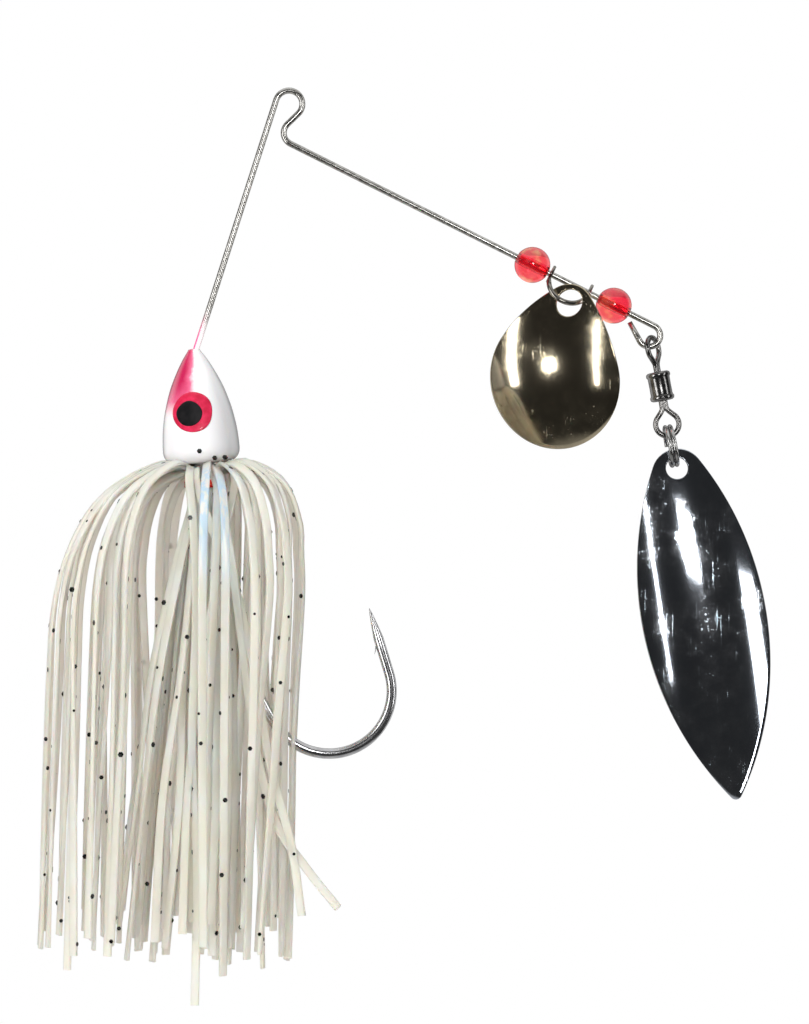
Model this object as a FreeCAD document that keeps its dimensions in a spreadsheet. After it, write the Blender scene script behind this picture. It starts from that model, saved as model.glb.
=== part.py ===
import FreeCAD, Part
import math
import os

import Sketcher
from FreeCAD import Placement, Rotation, Vector

# Spinnerbait for bass fishing: one bent wire carries a lead head with its hook and skirt on the lower
# arm, and beads, a clevis with a round blade, and a swivel with a long blade on the upper arm.
# It hangs in the X-Z plane from its line tie. The origin is the middle of the line-tie loop, +X points
# to the blades, +Y to the far side and +Z up.

doc = FreeCAD.newDocument("spinnerbait")
sheet = doc.addObject("Spreadsheet::Sheet", "sizes")

SIZES = [
    # One stainless wire, bent cold.
    ("wire_gauge", 1.02),
    ("head_arm_lean", 17.8),
    ("blade_arm_drop", 26.6),
    ("tie_radius", 2.2),
    ("tie_turn", 208.0),
    ("tie_return", 2.5),
    ("elbow_radius", 2.0),
    ("head_arm_length", 53.4),
    ("anchor_radius", 1.2),
    ("anchor_turn", 121.1),
    ("anchor_tail", 3.2),
    ("blade_arm_length", 66.9),
    ("end_loop_radius", 1.8),
    ("end_loop_turn", 215.0),
    ("end_tail", 3.5),
    # Lead head, a body of revolution with a collar below it.
    ("head_tilt", 4.2),
    ("nose_x", -15.62),
    ("nose_z", -40.4),
    ("nose_radius", 0.95),
    ("belly_radius", 6.26),
    ("belly_drop", 16.6),
    ("side_radius", 28.3),
    ("base_radius", 2.2),
    ("collar_radius", 1.7),
    ("collar_length", 6.6),
    ("collar_rise", 2.2),
    # Painted eyes.
    ("iris_diameter", 6.6),
    ("pupil_diameter", 4.2),
    ("eye_x", -15.5),
    ("eye_z", -50.85),
    ("pupil_left", 0.5),
    ("pupil_low", 0.25),
    ("paint_thick", 0.14),
    # Hook.
    ("hook_gauge", 1.65),
    ("shank_lean", 13.3),
    ("shank_x", -13.8),
    ("shank_z", -60.2),
    ("eye_to_shank", 8.95),
    ("hook_eye_radius", 1.45),
    ("hook_eye_gauge", 1.3),
    ("shank_length", 35.4),
    ("heel_radius", 20.0),
    ("heel_turn", 28.7),
    ("bend_radius", 10.3),
    ("bend_turn", 155.0),
    ("point_run", 5.9),
    ("point_taper", 5.2),
    ("point_tip", 0.06),
    ("barb_height", 0.75),
    ("barb_length", 2.4),
    ("barb_thick", 0.8),
    ("barb_sink", 0.25),
    ("barb_undercut", 0.3),
    # Skirt and the band that ties it.
    ("band_z", -62.5),
    ("band_height", 1.3),
    ("band_inner", 3.45),
    ("band_wall", 0.55),
    ("strand_count", 14),
    ("strand_width", 1.1),
    ("strand_thick", 0.7),
    ("tie_circle", 3.0),
    ("tie_bottom", -64.6),
    ("fold_z", -61.9),
    ("fold_radius", 1.5),
    ("fold_slope", 20.0),
    ("shoulder_run", 1.6),
    ("skirt_half_width", 20.4),
    ("skirt_half_depth", 16.8),
    ("skirt_shift", -5.1),
    ("skirt_lean", 2.1),
    ("skirt_tip", -138.0),
    ("skirt_longest", -147.2),
    ("inner_flare", 5.5),
    ("inner_bend", 40.0),
    ("strand_uneven", 3.0),
    ("strand_phase", 137.5),
    ("longest_strand", 6),
    ("hook_window", 30.0),
    # Beads on the blade arm.
    ("bead_diameter", 5.9),
    ("bead_hole", 1.36),
    ("front_bead_run", 44.5),
    ("bead_spacing", 14.96),
    # Clevis.
    ("clevis_gauge", 0.85),
    ("clevis_first_ear", 3.45),
    ("clevis_radius", 3.45),
    ("clevis_drop", 0.3),
    ("clevis_swing", 30.0),
    ("ear_radius", 1.55),
    ("ear_thick", 0.5),
    # Round blade.
    ("round_rise", 3.0),
    ("round_top", 4.4),
    ("round_bottom", 11.46),
    ("round_side", 30.0),
    ("round_length", 27.4),
    ("round_hole", 4.4),
    ("round_dish", 34.0),
    ("round_turn", 24.0),
    ("round_tilt", 11.7),
    ("round_lean", 6.0),
    ("round_y", -1.9),
    ("round_x", 46.0),
    ("round_z", -32.85),
    ("blade_thick", 0.45),
    ("blade_pad", 30.0),
    # Long blade.
    ("long_rise", 3.2),
    ("long_top", 4.3),
    ("long_bottom", 1.0),
    ("long_side", 53.9),
    ("long_length", 58.6),
    ("long_hole", 3.6),
    ("long_cross_dish", 24.0),
    ("long_dish", 160.0),
    ("long_tilt", 10.3),
    ("long_x", 63.8),
    ("long_z", -59.9),
    # Barrel swivel.
    ("swivel_x", 59.9),
    ("swivel_z", -40.3),
    ("swivel_tilt", 10.6),
    ("swivel_reach", 12.6),
    ("swivel_eye_radius", 1.92),
    ("swivel_eye_gauge", 0.88),
    ("swivel_eye_turn", 58.0),
    ("barrel_start", 3.85),
    ("barrel_length", 4.8),
    ("barrel_radius", 2.0),
    ("barrel_wall", 0.5),
    ("barrel_bore", 0.75),
    ("barrel_waist", 1.82),
    ("barrel_lip", 0.75),
    ("barrel_ease", 0.25),
    ("barrel_groove", 0.2),
    ("stem_radius", 0.58),
    ("stem_head_radius", 1.2),
    ("stem_head_thick", 0.8),
    ("stem_play", 0.25),
    # Split ring of two turns.
    ("ring_radius", 3.2),
    ("ring_gauge", 0.74),
    ("ring_pitch", 0.78),
    ("ring_jog", 30.0),
    ("knuckle_swell", 1.03),
    ("ring_x", 62.83),
    ("ring_z", -56.25),
]
for row, (alias, number) in enumerate(SIZES, start=1):
    sheet.set(f"A{row}", alias)
    sheet.set(f"B{row}", str(number))
    sheet.setAlias(f"B{row}", alias)
doc.recompute()

sub_parts = []


def size(alias):
    return float(sheet.get(alias))


def bind(item, **rules):
    """Bind properties of an object to formulas on the sheet's aliases, written with a leading =."""
    for name, rule in rules.items():
        item.setExpression(name, rule)


def formula(text):
    """Put sizes. before every alias in a short formula."""
    words = text.replace("(", " ( ").replace(")", " ) ").split()
    known = {alias for alias, number in SIZES}
    return " ".join(f"sizes.{word}" if word in known else word for word in words)


def keep(item, label):
    """Count an object as one sub-part under its own label."""
    item.Label = label
    sub_parts.append(item)
    return item


def in_plane(x, z):
    return Vector(x, 0, z)


def heading_vector(degrees):
    """Direction in the X-Z plane, measured from +X towards +Z."""
    angle = math.radians(degrees)
    return Vector(math.cos(angle), 0, math.sin(angle))


class Bender:
    """Follows a wire through straight runs and bends in the X-Z plane."""

    def __init__(self, start, heading):
        self.place = start
        self.heading = heading
        self.edges = []

    def run(self, length):
        end = self.place + heading_vector(self.heading) * length
        self.edges.append(Part.LineSegment(self.place, end).toShape())
        self.place = end

    def bend(self, radius, turn):
        """Bend by turn degrees, anticlockwise where it is positive."""
        side = math.copysign(90, turn)
        centre = self.place + heading_vector(self.heading + side) * radius
        middle = centre - heading_vector(self.heading + side + turn / 2) * radius
        end = centre - heading_vector(self.heading + side + turn) * radius
        self.edges.append(Part.Arc(self.place, middle, end).toShape())
        self.place = end
        self.heading += turn


def bent_rod(name, edges, gauge):
    """Sweep a round section along tangent edges, with its diameter bound to the sheet."""
    spine = doc.addObject("Part::Feature", f"{name}_line")
    spine.Shape = Part.Wire(Part.__sortEdges__(edges))
    first = spine.Shape.OrderedEdges[0]
    start = spine.Shape.OrderedVertexes[0].Point
    parameter = first.Curve.parameter(start)
    section = doc.addObject("Part::Circle", f"{name}_section")
    section.Placement = Placement(start, Rotation(Vector(0, 0, 1), first.tangentAt(parameter)))
    bind(section, Radius=formula(f"{gauge} / 2"))
    rod = doc.addObject("Part::Sweep", name)
    rod.Sections = [section]
    rod.Spine = (spine, [f"Edge{index + 1}" for index in range(len(spine.Shape.Edges))])
    rod.Solid = True
    rod.Frenet = False
    return rod


def cylinder(name, radius, height, placement=Placement()):
    rod = doc.addObject("Part::Cylinder", name)
    bind(rod, Radius=formula(radius), Height=formula(height))
    rod.Placement = placement
    return rod


def torus(name, ring_radius, gauge, placement=Placement()):
    ring = doc.addObject("Part::Torus", name)
    bind(ring, Radius1=formula(ring_radius), Radius2=formula(f"{gauge} / 2"))
    ring.Placement = placement
    return ring


def fuse(name, items):
    joined = doc.addObject("Part::MultiFuse", name)
    joined.Shapes = items
    return joined


def cut(name, base, tool):
    rest = doc.addObject("Part::Cut", name)
    rest.Base = base
    rest.Tool = tool
    return rest


def common(name, items):
    shared = doc.addObject("Part::MultiCommon", name)
    shared.Shapes = items
    return shared


def origin_plane(body, role):
    return next(item for item in body.Origin.OriginFeatures if item.Role == role)


def body_with_sketch(name, role):
    body = doc.addObject("PartDesign::Body", name)
    sketch = body.newObject("Sketcher::SketchObject", f"{name}_sketch")
    sketch.AttachmentSupport = (origin_plane(body, role), [""])
    sketch.MapMode = "FlatFace"
    return body, sketch


def revolve(body, sketch):
    turned = body.newObject("PartDesign::Revolution", f"{body.Name}_turned")
    turned.Profile = sketch
    turned.ReferenceAxis = (sketch, ["V_Axis"])
    turned.Angle = 360.0
    return turned


def join_ends(sketch, count):
    """Close a chain of lines end to end."""
    for index in range(count):
        sketch.addConstraint(Sketcher.Constraint("Coincident", index, 2, (index + 1) % count, 1))


def line(x0, z0, x1, z1):
    return Part.LineSegment(Vector(x0, z0, 0), Vector(x1, z1, 0))


def set_size(sketch, name, kind, places, rule):
    """Add a named distance or radius and bind it to the sheet."""
    index = sketch.addConstraint(Sketcher.Constraint(kind, *places))
    sketch.renameConstraint(index, name)
    sketch.setExpression(f"Constraints.{name}", formula(rule))


# ---- The wire: line-tie loop, elbow, two arms, end loop and the anchor bend in the head ----

arm_heading = -size("blade_arm_drop")
up_heading = 90 - size("head_arm_lean")
loop_start = heading_vector(up_heading + 90) * size("tie_radius")
elbow_turn = arm_heading - (up_heading - size("tie_turn"))

upper = Bender(loop_start, up_heading)
upper.bend(size("tie_radius"), -size("tie_turn"))
upper.run(size("tie_return"))
upper.bend(size("elbow_radius"), elbow_turn)
arm_start = upper.place
upper.run(size("blade_arm_length"))
upper.bend(size("end_loop_radius"), -size("end_loop_turn"))
upper.run(size("end_tail"))

lower = Bender(loop_start, up_heading - 180)
lower.run(size("head_arm_length"))
lower.bend(size("anchor_radius"), size("anchor_turn"))
lower.run(size("anchor_tail"))

wire_frame = keep(bent_rod("wire_frame", lower.edges + upper.edges, "wire_gauge"), "wire_frame")

arm_direction = heading_vector(arm_heading)
arm_normal = heading_vector(arm_heading + 90)


def on_arm(distance, rise=0.0):
    """Point on the blade arm, measured from its elbow, and a rise square to the arm."""
    return arm_start + arm_direction * distance + arm_normal * rise


# ---- Hook: eye, straight shank, bend, needle point and barb, all one forging ----

shank_heading = size("shank_lean") - 90
shank_direction = heading_vector(shank_heading)
shank_start = in_plane(size("shank_x"), size("shank_z"))
eye_centre = shank_start - shank_direction * size("eye_to_shank")
shank_top = eye_centre + shank_direction * size("hook_eye_radius")

hook_line = Bender(shank_top, shank_heading)
hook_line.run(size("eye_to_shank") - size("hook_eye_radius") + size("shank_length"))
hook_line.bend(size("heel_radius"), size("heel_turn"))
hook_line.bend(size("bend_radius"), size("bend_turn"))
hook_line.run(size("point_run"))
hook_rod = bent_rod("hook_rod", hook_line.edges, "hook_gauge")

point_direction = heading_vector(hook_line.heading)
inward = heading_vector(hook_line.heading + 90)
hook_point = doc.addObject("Part::Cone", "hook_point")
bind(
    hook_point,
    Radius1=formula("hook_gauge / 2"),
    Radius2=formula("point_tip"),
    Height=formula("point_taper"),
)
hook_point.Placement = Placement(hook_line.place, Rotation(Vector(0, 0, 1), point_direction))

eye_turned = Rotation(Vector(0, 0, 1), heading_vector(shank_heading + 90))
hook_eye = torus("hook_eye", "hook_eye_radius", "hook_eye_gauge", Placement(eye_centre, eye_turned))

barb_root = hook_line.place + inward * (size("hook_gauge") / 2 - size("barb_sink"))
barb_back = barb_root - point_direction * size("barb_length")
barb_tip = barb_back + inward * size("barb_height") + point_direction * size("barb_undercut")
half_barb = Vector(0, -size("barb_thick") / 2, 0)
barb_corners = [corner + half_barb for corner in (barb_root, barb_tip, barb_back, barb_root)]
hook_barb = doc.addObject("Part::Feature", "hook_barb")
barb_face = Part.Face(Part.makePolygon(barb_corners))
hook_barb.Shape = barb_face.extrude(Vector(0, size("barb_thick"), 0))

hook = keep(fuse("hook", [hook_rod, hook_point, hook_eye, hook_barb]), "hook")


# ---- Lead head: turned shape with a collar, cast round the wire and the hook ----

def head_shape(name, skin):
    """Half outline of the head turned about its axis, grown outwards by a skin."""
    body, sketch = body_with_sketch(name, "XZ_Plane")
    nose = size("nose_radius") + skin
    belly = size("belly_radius") + skin
    side = size("side_radius") + skin
    base = size("base_radius") + skin
    drop = size("belly_drop")
    top = skin
    side_start = math.acos((nose - belly + side) / side)
    side_rise = side * math.sin(side_start)
    bottom = -drop - base
    sketch.addGeometry(line(0, top, nose, top))
    side_circle = Part.Circle(Vector(belly - side, -drop, 0), Vector(0, 0, 1), side)
    sketch.addGeometry(Part.ArcOfCircle(side_circle, 0, side_start))
    base_circle = Part.Circle(Vector(belly - base, -drop, 0), Vector(0, 0, 1), base)
    sketch.addGeometry(Part.ArcOfCircle(base_circle, -math.pi / 2, 0))
    sketch.addGeometry(line(belly - base, bottom, 0, bottom))
    sketch.addGeometry(line(0, bottom, 0, top))
    sketch.addGeometry(line(nose, top, nose, -drop + side_rise))
    for first, first_end, second, second_end in (
        (0, 2, 5, 1), (5, 2, 1, 2), (1, 1, 2, 2), (2, 1, 3, 1), (3, 2, 4, 1), (4, 2, 0, 1),
    ):
        sketch.addConstraint(
            Sketcher.Constraint("Coincident", first, first_end, second, second_end)
        )
    sketch.addConstraint(Sketcher.Constraint("Horizontal", 0))
    sketch.addConstraint(Sketcher.Constraint("Horizontal", 3))
    sketch.addConstraint(Sketcher.Constraint("PointOnObject", 4, 1, -2))
    sketch.addConstraint(Sketcher.Constraint("PointOnObject", 4, 2, -2))
    sketch.addConstraint(Sketcher.Constraint("Vertical", 5))
    set_size(sketch, "nose", "DistanceX", (-1, 1, 0, 2, nose), f"nose_radius + {skin}")
    set_size(sketch, "belly", "DistanceX", (-1, 1, 2, 2, belly), f"belly_radius + {skin}")
    set_size(sketch, "side", "Radius", (1, side), f"side_radius + {skin}")
    set_size(sketch, "base", "Radius", (2, base), f"base_radius + {skin}")
    set_size(sketch, "drop", "DistanceY", (2, 2, -1, 1, drop), "belly_drop")
    revolve(body, sketch)
    lean = Rotation(Vector(0, 1, 0), -size("head_tilt"))
    body.Placement = Placement(in_plane(size("nose_x"), size("nose_z")), lean)
    return body


doc.recompute()
head_turned = head_shape("head_turned", 0.0)
collar_top = shank_start - shank_direction * size("collar_rise")
collar = cylinder(
    "collar",
    "collar_radius",
    "collar_length",
    Placement(collar_top, Rotation(Vector(0, 0, 1), shank_direction)),
)
head_blank = fuse("head_blank", [head_turned, collar])
cast_in = fuse("cast_in", [wire_frame, hook])
jig_head = keep(cut("jig_head_cast", head_blank, cast_in), "jig_head")

# ---- Eyes: a red ring and a black pupil of thick paint on both sides ----

pupil_x = size("eye_x") - size("pupil_left")
pupil_z = size("eye_z") - size("pupil_low")
for side_name, quarter_turn in (("near", 90), ("far", -90)):
    side_turn = Rotation(Vector(1, 0, 0), quarter_turn)
    head_inside = head_shape(f"head_inside_{side_name}", 0.0)
    head_grown = head_shape(f"head_grown_{side_name}", size("paint_thick"))
    paint = cut(f"paint_{side_name}", head_grown, head_inside)
    iris_place = Placement(in_plane(size("eye_x"), size("eye_z")), side_turn)
    pupil_place = Placement(in_plane(pupil_x, pupil_z), side_turn)
    iris_disc = cylinder(
        f"iris_disc_{side_name}", "iris_diameter / 2", "belly_radius * 2", iris_place
    )
    pupil_disc = cylinder(
        f"pupil_disc_{side_name}", "pupil_diameter / 2", "belly_radius * 2", pupil_place
    )
    iris_ring = cut(f"iris_ring_{side_name}", iris_disc, pupil_disc)
    keep(common(f"iris_paint_{side_name}", [paint, iris_ring]), f"iris_{side_name}")
    keep(common(f"pupil_paint_{side_name}", [paint, pupil_disc]), f"pupil_{side_name}")

# ---- Skirt: strips tied in the middle, folded out over the band, and the band itself ----

band_slip = (size("shank_z") - size("band_z")) * math.tan(math.radians(size("shank_lean")))
band_middle = in_plane(size("shank_x") + band_slip, size("band_z"))
band_outer = cylinder(
    "band_outer", "band_inner + band_wall", "band_height",
    Placement(band_middle - Vector(0, 0, size("band_height") / 2), Rotation()),
)
band_hole = cylinder(
    "band_hole", "band_inner", "band_height",
    Placement(band_middle - Vector(0, 0, size("band_height") / 2), Rotation()),
)
keep(cut("band_ring", band_outer, band_hole), "skirt_band")


def strand(index):
    """One silicone strip in its own radial plane, from the hanging inner tip over the fold."""
    plane_turn = (index + 0.5) * 360 / size("strand_count")
    around = math.radians(plane_turn)
    wide = size("skirt_half_width")
    square = (math.cos(around) / wide) ** 2 + (math.sin(around) / size("skirt_half_depth")) ** 2
    half_linear = -size("skirt_shift") * math.cos(around) / wide**2
    rest = (size("skirt_shift") / wide) ** 2 - 1
    reach = (math.sqrt(half_linear**2 - square * rest) - half_linear) / square
    slope = size("fold_slope")
    lean = -size("skirt_lean") * math.cos(around)
    uneven = size("strand_uneven") * math.sin(math.radians(size("strand_phase") * index))
    path = Bender(in_plane(size("tie_circle"), size("tie_bottom")), 90)
    path.run(size("fold_z") - size("tie_bottom"))
    path.bend(size("fold_radius"), -(90 + slope))
    path.run(size("shoulder_run"))
    sweep = 90 - slope - lean
    room = reach - path.place.x
    shoulder = room / (math.cos(math.radians(lean)) - math.sin(math.radians(slope)))
    path.bend(shoulder, -sweep)
    path.run((path.place.z - size("skirt_tip") + uneven) / math.cos(math.radians(lean)))
    edges = path.edges
    if size("hook_window") < plane_turn < 360 - size("hook_window"):
        hang = Bender(in_plane(size("tie_circle"), size("tie_bottom")), -90)
        hang.bend(size("inner_bend"), size("inner_flare"))
        longest = index == size("longest_strand")
        last = size("skirt_longest") if longest else size("skirt_tip") + uneven
        hang.run((hang.place.z - last) / math.cos(math.radians(size("inner_flare"))))
        edges = hang.edges + edges
    line_shape = Part.Wire(Part.__sortEdges__(edges))
    start = line_shape.OrderedVertexes[0].Point
    first = line_shape.OrderedEdges[0]
    along = first.tangentAt(first.Curve.parameter(start))
    across = Vector(0, size("strand_width") / 2, 0)
    through = along.cross(Vector(0, 1, 0)).normalize() * (size("strand_thick") / 2)
    corners = [start + across + through, start - across + through]
    corners += [start - across - through, start + across - through]
    section = Part.makePolygon(corners + corners[:1])
    strip = line_shape.makePipeShell([section], True, False)
    strip.rotate(Vector(0, 0, 0), Vector(0, 0, 1), plane_turn)
    strip.translate(Vector(band_middle.x, 0, 0))
    return strip


strips = [strand(index) for index in range(int(size("strand_count")))]
for label, members in (
    ("skirt_right", (12, 13, 0, 1)),
    ("skirt_back", (2, 3, 4)),
    ("skirt_left", (5, 6, 7, 8)),
    ("skirt_front", (9, 10, 11)),
):
    group = doc.addObject("Part::Feature", label)
    group.Shape = Part.makeCompound([strips[member] for member in members])
    keep(group, label)


# ---- Beads ----

def bead(name, distance):
    ball = doc.addObject("Part::Sphere", f"{name}_ball")
    bind(ball, Radius=formula("bead_diameter / 2"))
    drill = cylinder(
        f"{name}_drill", "bead_hole / 2", "bead_diameter * 2",
        Placement(Vector(0, 0, -size("bead_diameter")), Rotation()),
    )
    drilled = keep(cut(f"{name}_drilled", ball, drill), name)
    drilled.Placement = Placement(on_arm(distance), Rotation(Vector(0, 0, 1), arm_direction))


bead("front_bead", size("front_bead_run"))
bead("rear_bead", size("front_bead_run") + size("bead_spacing"))

# ---- Clevis: wire stirrup with two flattened, drilled ears ----

first_ear = size("front_bead_run") + size("clevis_first_ear")
ear_gap = 2 * size("clevis_radius")
arm_turn = Rotation(Vector(0, 0, 1), arm_direction)
stirrup_line = Bender(on_arm(first_ear, -size("clevis_drop")), arm_heading - 90)
stirrup_line.bend(size("clevis_radius"), 180)
stirrup = bent_rod("stirrup", stirrup_line.edges, "clevis_gauge")
ears = []
for ear_name, ear_distance in (("first", first_ear), ("second", first_ear + ear_gap)):
    ear_place = Placement(on_arm(ear_distance - size("ear_thick") / 2), arm_turn)
    ears.append(cylinder(f"{ear_name}_ear", "ear_radius", "ear_thick", ear_place))
clevis_blank = fuse("clevis_blank", [stirrup] + ears)
ear_drill = cylinder(
    "ear_drill", "bead_hole / 2", "clevis_radius * 4",
    Placement(on_arm(first_ear - size("clevis_radius")), arm_turn),
)
clevis = keep(cut("clevis_drilled", clevis_blank, ear_drill), "clevis")
clevis.Placement = Placement(Vector(), Rotation(arm_direction, -size("clevis_swing")), arm_start)


# ---- Blades: dished sheet, cut to an outline of four tangent arcs, with one hole ----

def blade_outline(name, rise, top, bottom, length, side, hole):
    """Padded outline with the hole at the body's origin and the tip towards its -Z.

    Each side arc wraps the top and the bottom circle, so its centre lies past the middle line
    by the offset, and below the top circle's centre by above.
    """
    body, sketch = body_with_sketch(name, "XZ_Plane")
    gap = length - top - bottom
    above = ((side - top) ** 2 - (side - bottom) ** 2 + gap**2) / (2 * gap)
    offset = math.sqrt((side - top) ** 2 - above**2)
    turn_top = math.atan2(above, offset)
    turn_low = math.atan2(gap - above, offset)
    upper = rise - top
    for centre_x, centre_z, arc_radius, start, end in (
        (0, upper, top, turn_top, math.pi - turn_top),
        (offset, upper - above, side, math.pi - turn_top, math.pi + turn_low),
        (0, upper - gap, bottom, math.pi + turn_low, 2 * math.pi - turn_low),
        (-offset, upper - above, side, -turn_low, turn_top),
    ):
        circle = Part.Circle(Vector(centre_x, centre_z, 0), Vector(0, 0, 1), arc_radius)
        sketch.addGeometry(Part.ArcOfCircle(circle, start, end))
    join_ends(sketch, 4)
    ring = sketch.addGeometry(Part.Circle(Vector(0, 0, 0), Vector(0, 0, 1), hole / 2))
    sketch.addConstraint(Sketcher.Constraint("Coincident", ring, 3, -1, 1))
    pad = body.newObject("PartDesign::Pad", f"{name}_pad")
    pad.Profile = sketch
    pad.Length = size("blade_pad")
    pad.Midplane = True
    return body, sketch, ring


doc.recompute()
round_body, round_sketch, round_ring = blade_outline(
    "round_outline", size("round_rise"), size("round_top"), size("round_bottom"),
    size("round_length"), size("round_side"), size("round_hole"),
)
set_size(round_sketch, "hole", "Radius", (round_ring, size("round_hole") / 2), "round_hole / 2")
dish_axis = size("round_rise") - size("round_length") / 2
dish_back = math.sqrt(size("round_dish") ** 2 - dish_axis**2)
shells = []
for face_name, growth in (("outer", " + blade_thick / 2"), ("inner", " - blade_thick / 2")):
    ball = doc.addObject("Part::Sphere", f"round_{face_name}")
    bind(ball, Radius=formula(f"round_dish{growth}"))
    ball.Placement = Placement(Vector(0, dish_back, dish_axis), Rotation())
    shells.append(ball)
round_shell = cut("round_shell", shells[0], shells[1])
round_blade = keep(common("round_blade", [round_shell, round_body]), "colorado_blade")
round_leant = Rotation(Vector(1, 0, 0), size("round_lean"))
round_spin = round_leant * Rotation(Vector(0, 0, 1), -size("round_turn"))
round_blade.Placement = Placement(
    Vector(size("round_x"), size("round_y"), size("round_z")),
    round_spin * Rotation(Vector(0, 1, 0), size("round_tilt")),
)

long_body, long_sketch, long_ring = blade_outline(
    "long_outline", size("long_rise"), size("long_top"), size("long_bottom"),
    size("long_length"), size("long_side"), size("long_hole"),
)
set_size(long_sketch, "hole", "Radius", (long_ring, size("long_hole") / 2), "long_hole / 2")
long_axis = size("long_rise") - size("long_length") / 2
long_back = math.sqrt(size("long_dish") ** 2 - long_axis**2)
shells = []
for face_name, growth in (("outer", " + blade_thick / 2"), ("inner", " - blade_thick / 2")):
    ring = doc.addObject("Part::Torus", f"long_{face_name}")
    bind(
        ring,
        Radius1=formula("long_dish - long_cross_dish"),
        Radius2=formula(f"long_cross_dish{growth}"),
    )
    ring.Placement = Placement(Vector(0, long_back, long_axis), Rotation(Vector(0, 1, 0), 90))
    shells.append(ring)
long_shell = cut("long_shell", shells[0], shells[1])
long_blade = keep(common("long_blade", [long_shell, long_body]), "willow_blade")
long_blade.Placement = Placement(
    in_plane(size("long_x"), size("long_z")), Rotation(Vector(0, 1, 0), -size("long_tilt"))
)

# ---- Barrel swivel: hollow barrel and two eyes whose stem heads are held inside it ----

swivel_down = heading_vector(size("swivel_tilt") - 90)
swivel_top = in_plane(size("swivel_x"), size("swivel_z"))
swivel_frame = Placement(swivel_top, Rotation(Vector(0, 0, -1), swivel_down))


def swivel_eye(name, eye_height, eye_turn, stem_from, stem_to, head_at):
    """Eye ring, stem and stem head, drawn hanging down from the upper eye."""
    stand = Placement(Vector(0, 0, -eye_height), Rotation(Vector(0, 0, 1), eye_turn))
    flat = Placement(Vector(), Rotation(Vector(1, 0, 0), 90))
    ring = torus(f"{name}_ring", "swivel_eye_radius", "swivel_eye_gauge", stand.multiply(flat))
    stem = doc.addObject("Part::Cylinder", f"{name}_stem")
    bind(stem, Radius=formula("stem_radius"))
    stem.Height = stem_from - stem_to
    stem.Placement = Placement(Vector(0, 0, stem_to), Rotation())
    button = cylinder(
        f"{name}_button", "stem_head_radius", "stem_head_thick",
        Placement(Vector(0, 0, head_at), Rotation()),
    )
    whole = keep(fuse(f"{name}_joined", [ring, stem, button]), name)
    whole.Placement = swivel_frame


barrel_top = -size("barrel_start")
barrel_end = barrel_top - size("barrel_length")
inner_top = barrel_top - size("barrel_wall")
inner_end = barrel_end + size("barrel_wall")
swivel_eye(
    "swivel_upper_eye", 0.0, size("swivel_eye_turn"),
    -size("swivel_eye_radius"), inner_top - size("stem_play") - size("stem_head_thick") / 2,
    inner_top - size("stem_play") - size("stem_head_thick"),
)
swivel_eye(
    "swivel_lower_eye", size("swivel_reach"), 0.0,
    inner_end + size("stem_play") + size("stem_head_thick") / 2,
    -size("swivel_reach") + size("swivel_eye_radius"),
    inner_end + size("stem_play"),
)

barrel_body, barrel_sketch = body_with_sketch("barrel_body", "XZ_Plane")
outer, bore, wall = size("barrel_radius"), size("barrel_bore"), size("barrel_wall")
room = outer - wall
waist = size("barrel_waist")
ease = size("barrel_ease")
half = size("barrel_length") / 2
lip = size("barrel_lip")
groove = half - lip - size("barrel_groove")
barrel_points = [
    (bore, half), (outer - ease, half), (outer, half - ease), (outer, half - lip),
    (waist, groove), (waist, -groove), (outer, lip - half), (outer, ease - half),
    (outer - ease, -half), (bore, -half), (bore, wall - half), (room, wall - half),
    (room, half - wall), (bore, half - wall),
]
for index, (x, z) in enumerate(barrel_points):
    next_x, next_z = barrel_points[(index + 1) % len(barrel_points)]
    barrel_sketch.addGeometry(line(x, z, next_x, next_z))
join_ends(barrel_sketch, len(barrel_points))
set_size(barrel_sketch, "outer", "DistanceX", (-1, 1, 2, 1, outer), "barrel_radius")
set_size(barrel_sketch, "bore", "DistanceX", (-1, 1, 0, 1, bore), "barrel_bore")
revolve(barrel_body, barrel_sketch)
keep(barrel_body, "swivel_barrel")
barrel_middle = Placement(Vector(0, 0, (barrel_top + barrel_end) / 2), Rotation())
barrel_body.Placement = swivel_frame.multiply(barrel_middle)

# ---- Split ring: two turns of wire, edge on to the viewer ----

jog_angle = math.radians(-size("ring_jog"))
jog_start = Vector(math.cos(jog_angle), math.sin(jog_angle), 0) * size("ring_radius")
jog_start.z = -size("ring_pitch") / 2
jog_end = Vector(size("ring_radius"), 0, size("ring_pitch") / 2)
ring_parts = []
for turn_name, turn_z, joint in (
    ("first", jog_start.z, jog_start), ("second", jog_end.z, jog_end),
):
    turn = torus(
        f"{turn_name}_turn", "ring_radius", "ring_gauge", Placement(Vector(0, 0, turn_z), Rotation())
    )
    turn.Angle3 = 360 - size("ring_jog")
    knuckle = doc.addObject("Part::Sphere", f"{turn_name}_knuckle")
    bind(knuckle, Radius=formula("ring_gauge / 2 * knuckle_swell"))
    knuckle.Placement = Placement(joint, Rotation())
    ring_parts += [turn, knuckle]
jog = jog_end - jog_start
jog_rod = doc.addObject("Part::Cylinder", "ring_jog_rod")
bind(jog_rod, Radius=formula("ring_gauge / 2"))
jog_rod.Height = jog.Length
jog_rod.Placement = Placement(jog_start, Rotation(Vector(0, 0, 1), jog))
split_ring = keep(fuse("split_ring_turns", ring_parts + [jog_rod]), "split_ring")
ring_edge_on = Rotation(Vector(0, 1, 0), 90 - size("swivel_tilt"))
split_ring.Placement = Placement(
    in_plane(size("ring_x"), size("ring_z")), ring_edge_on * Rotation(Vector(0, 0, 1), 90)
)

# ---- Check and write ----

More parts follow.
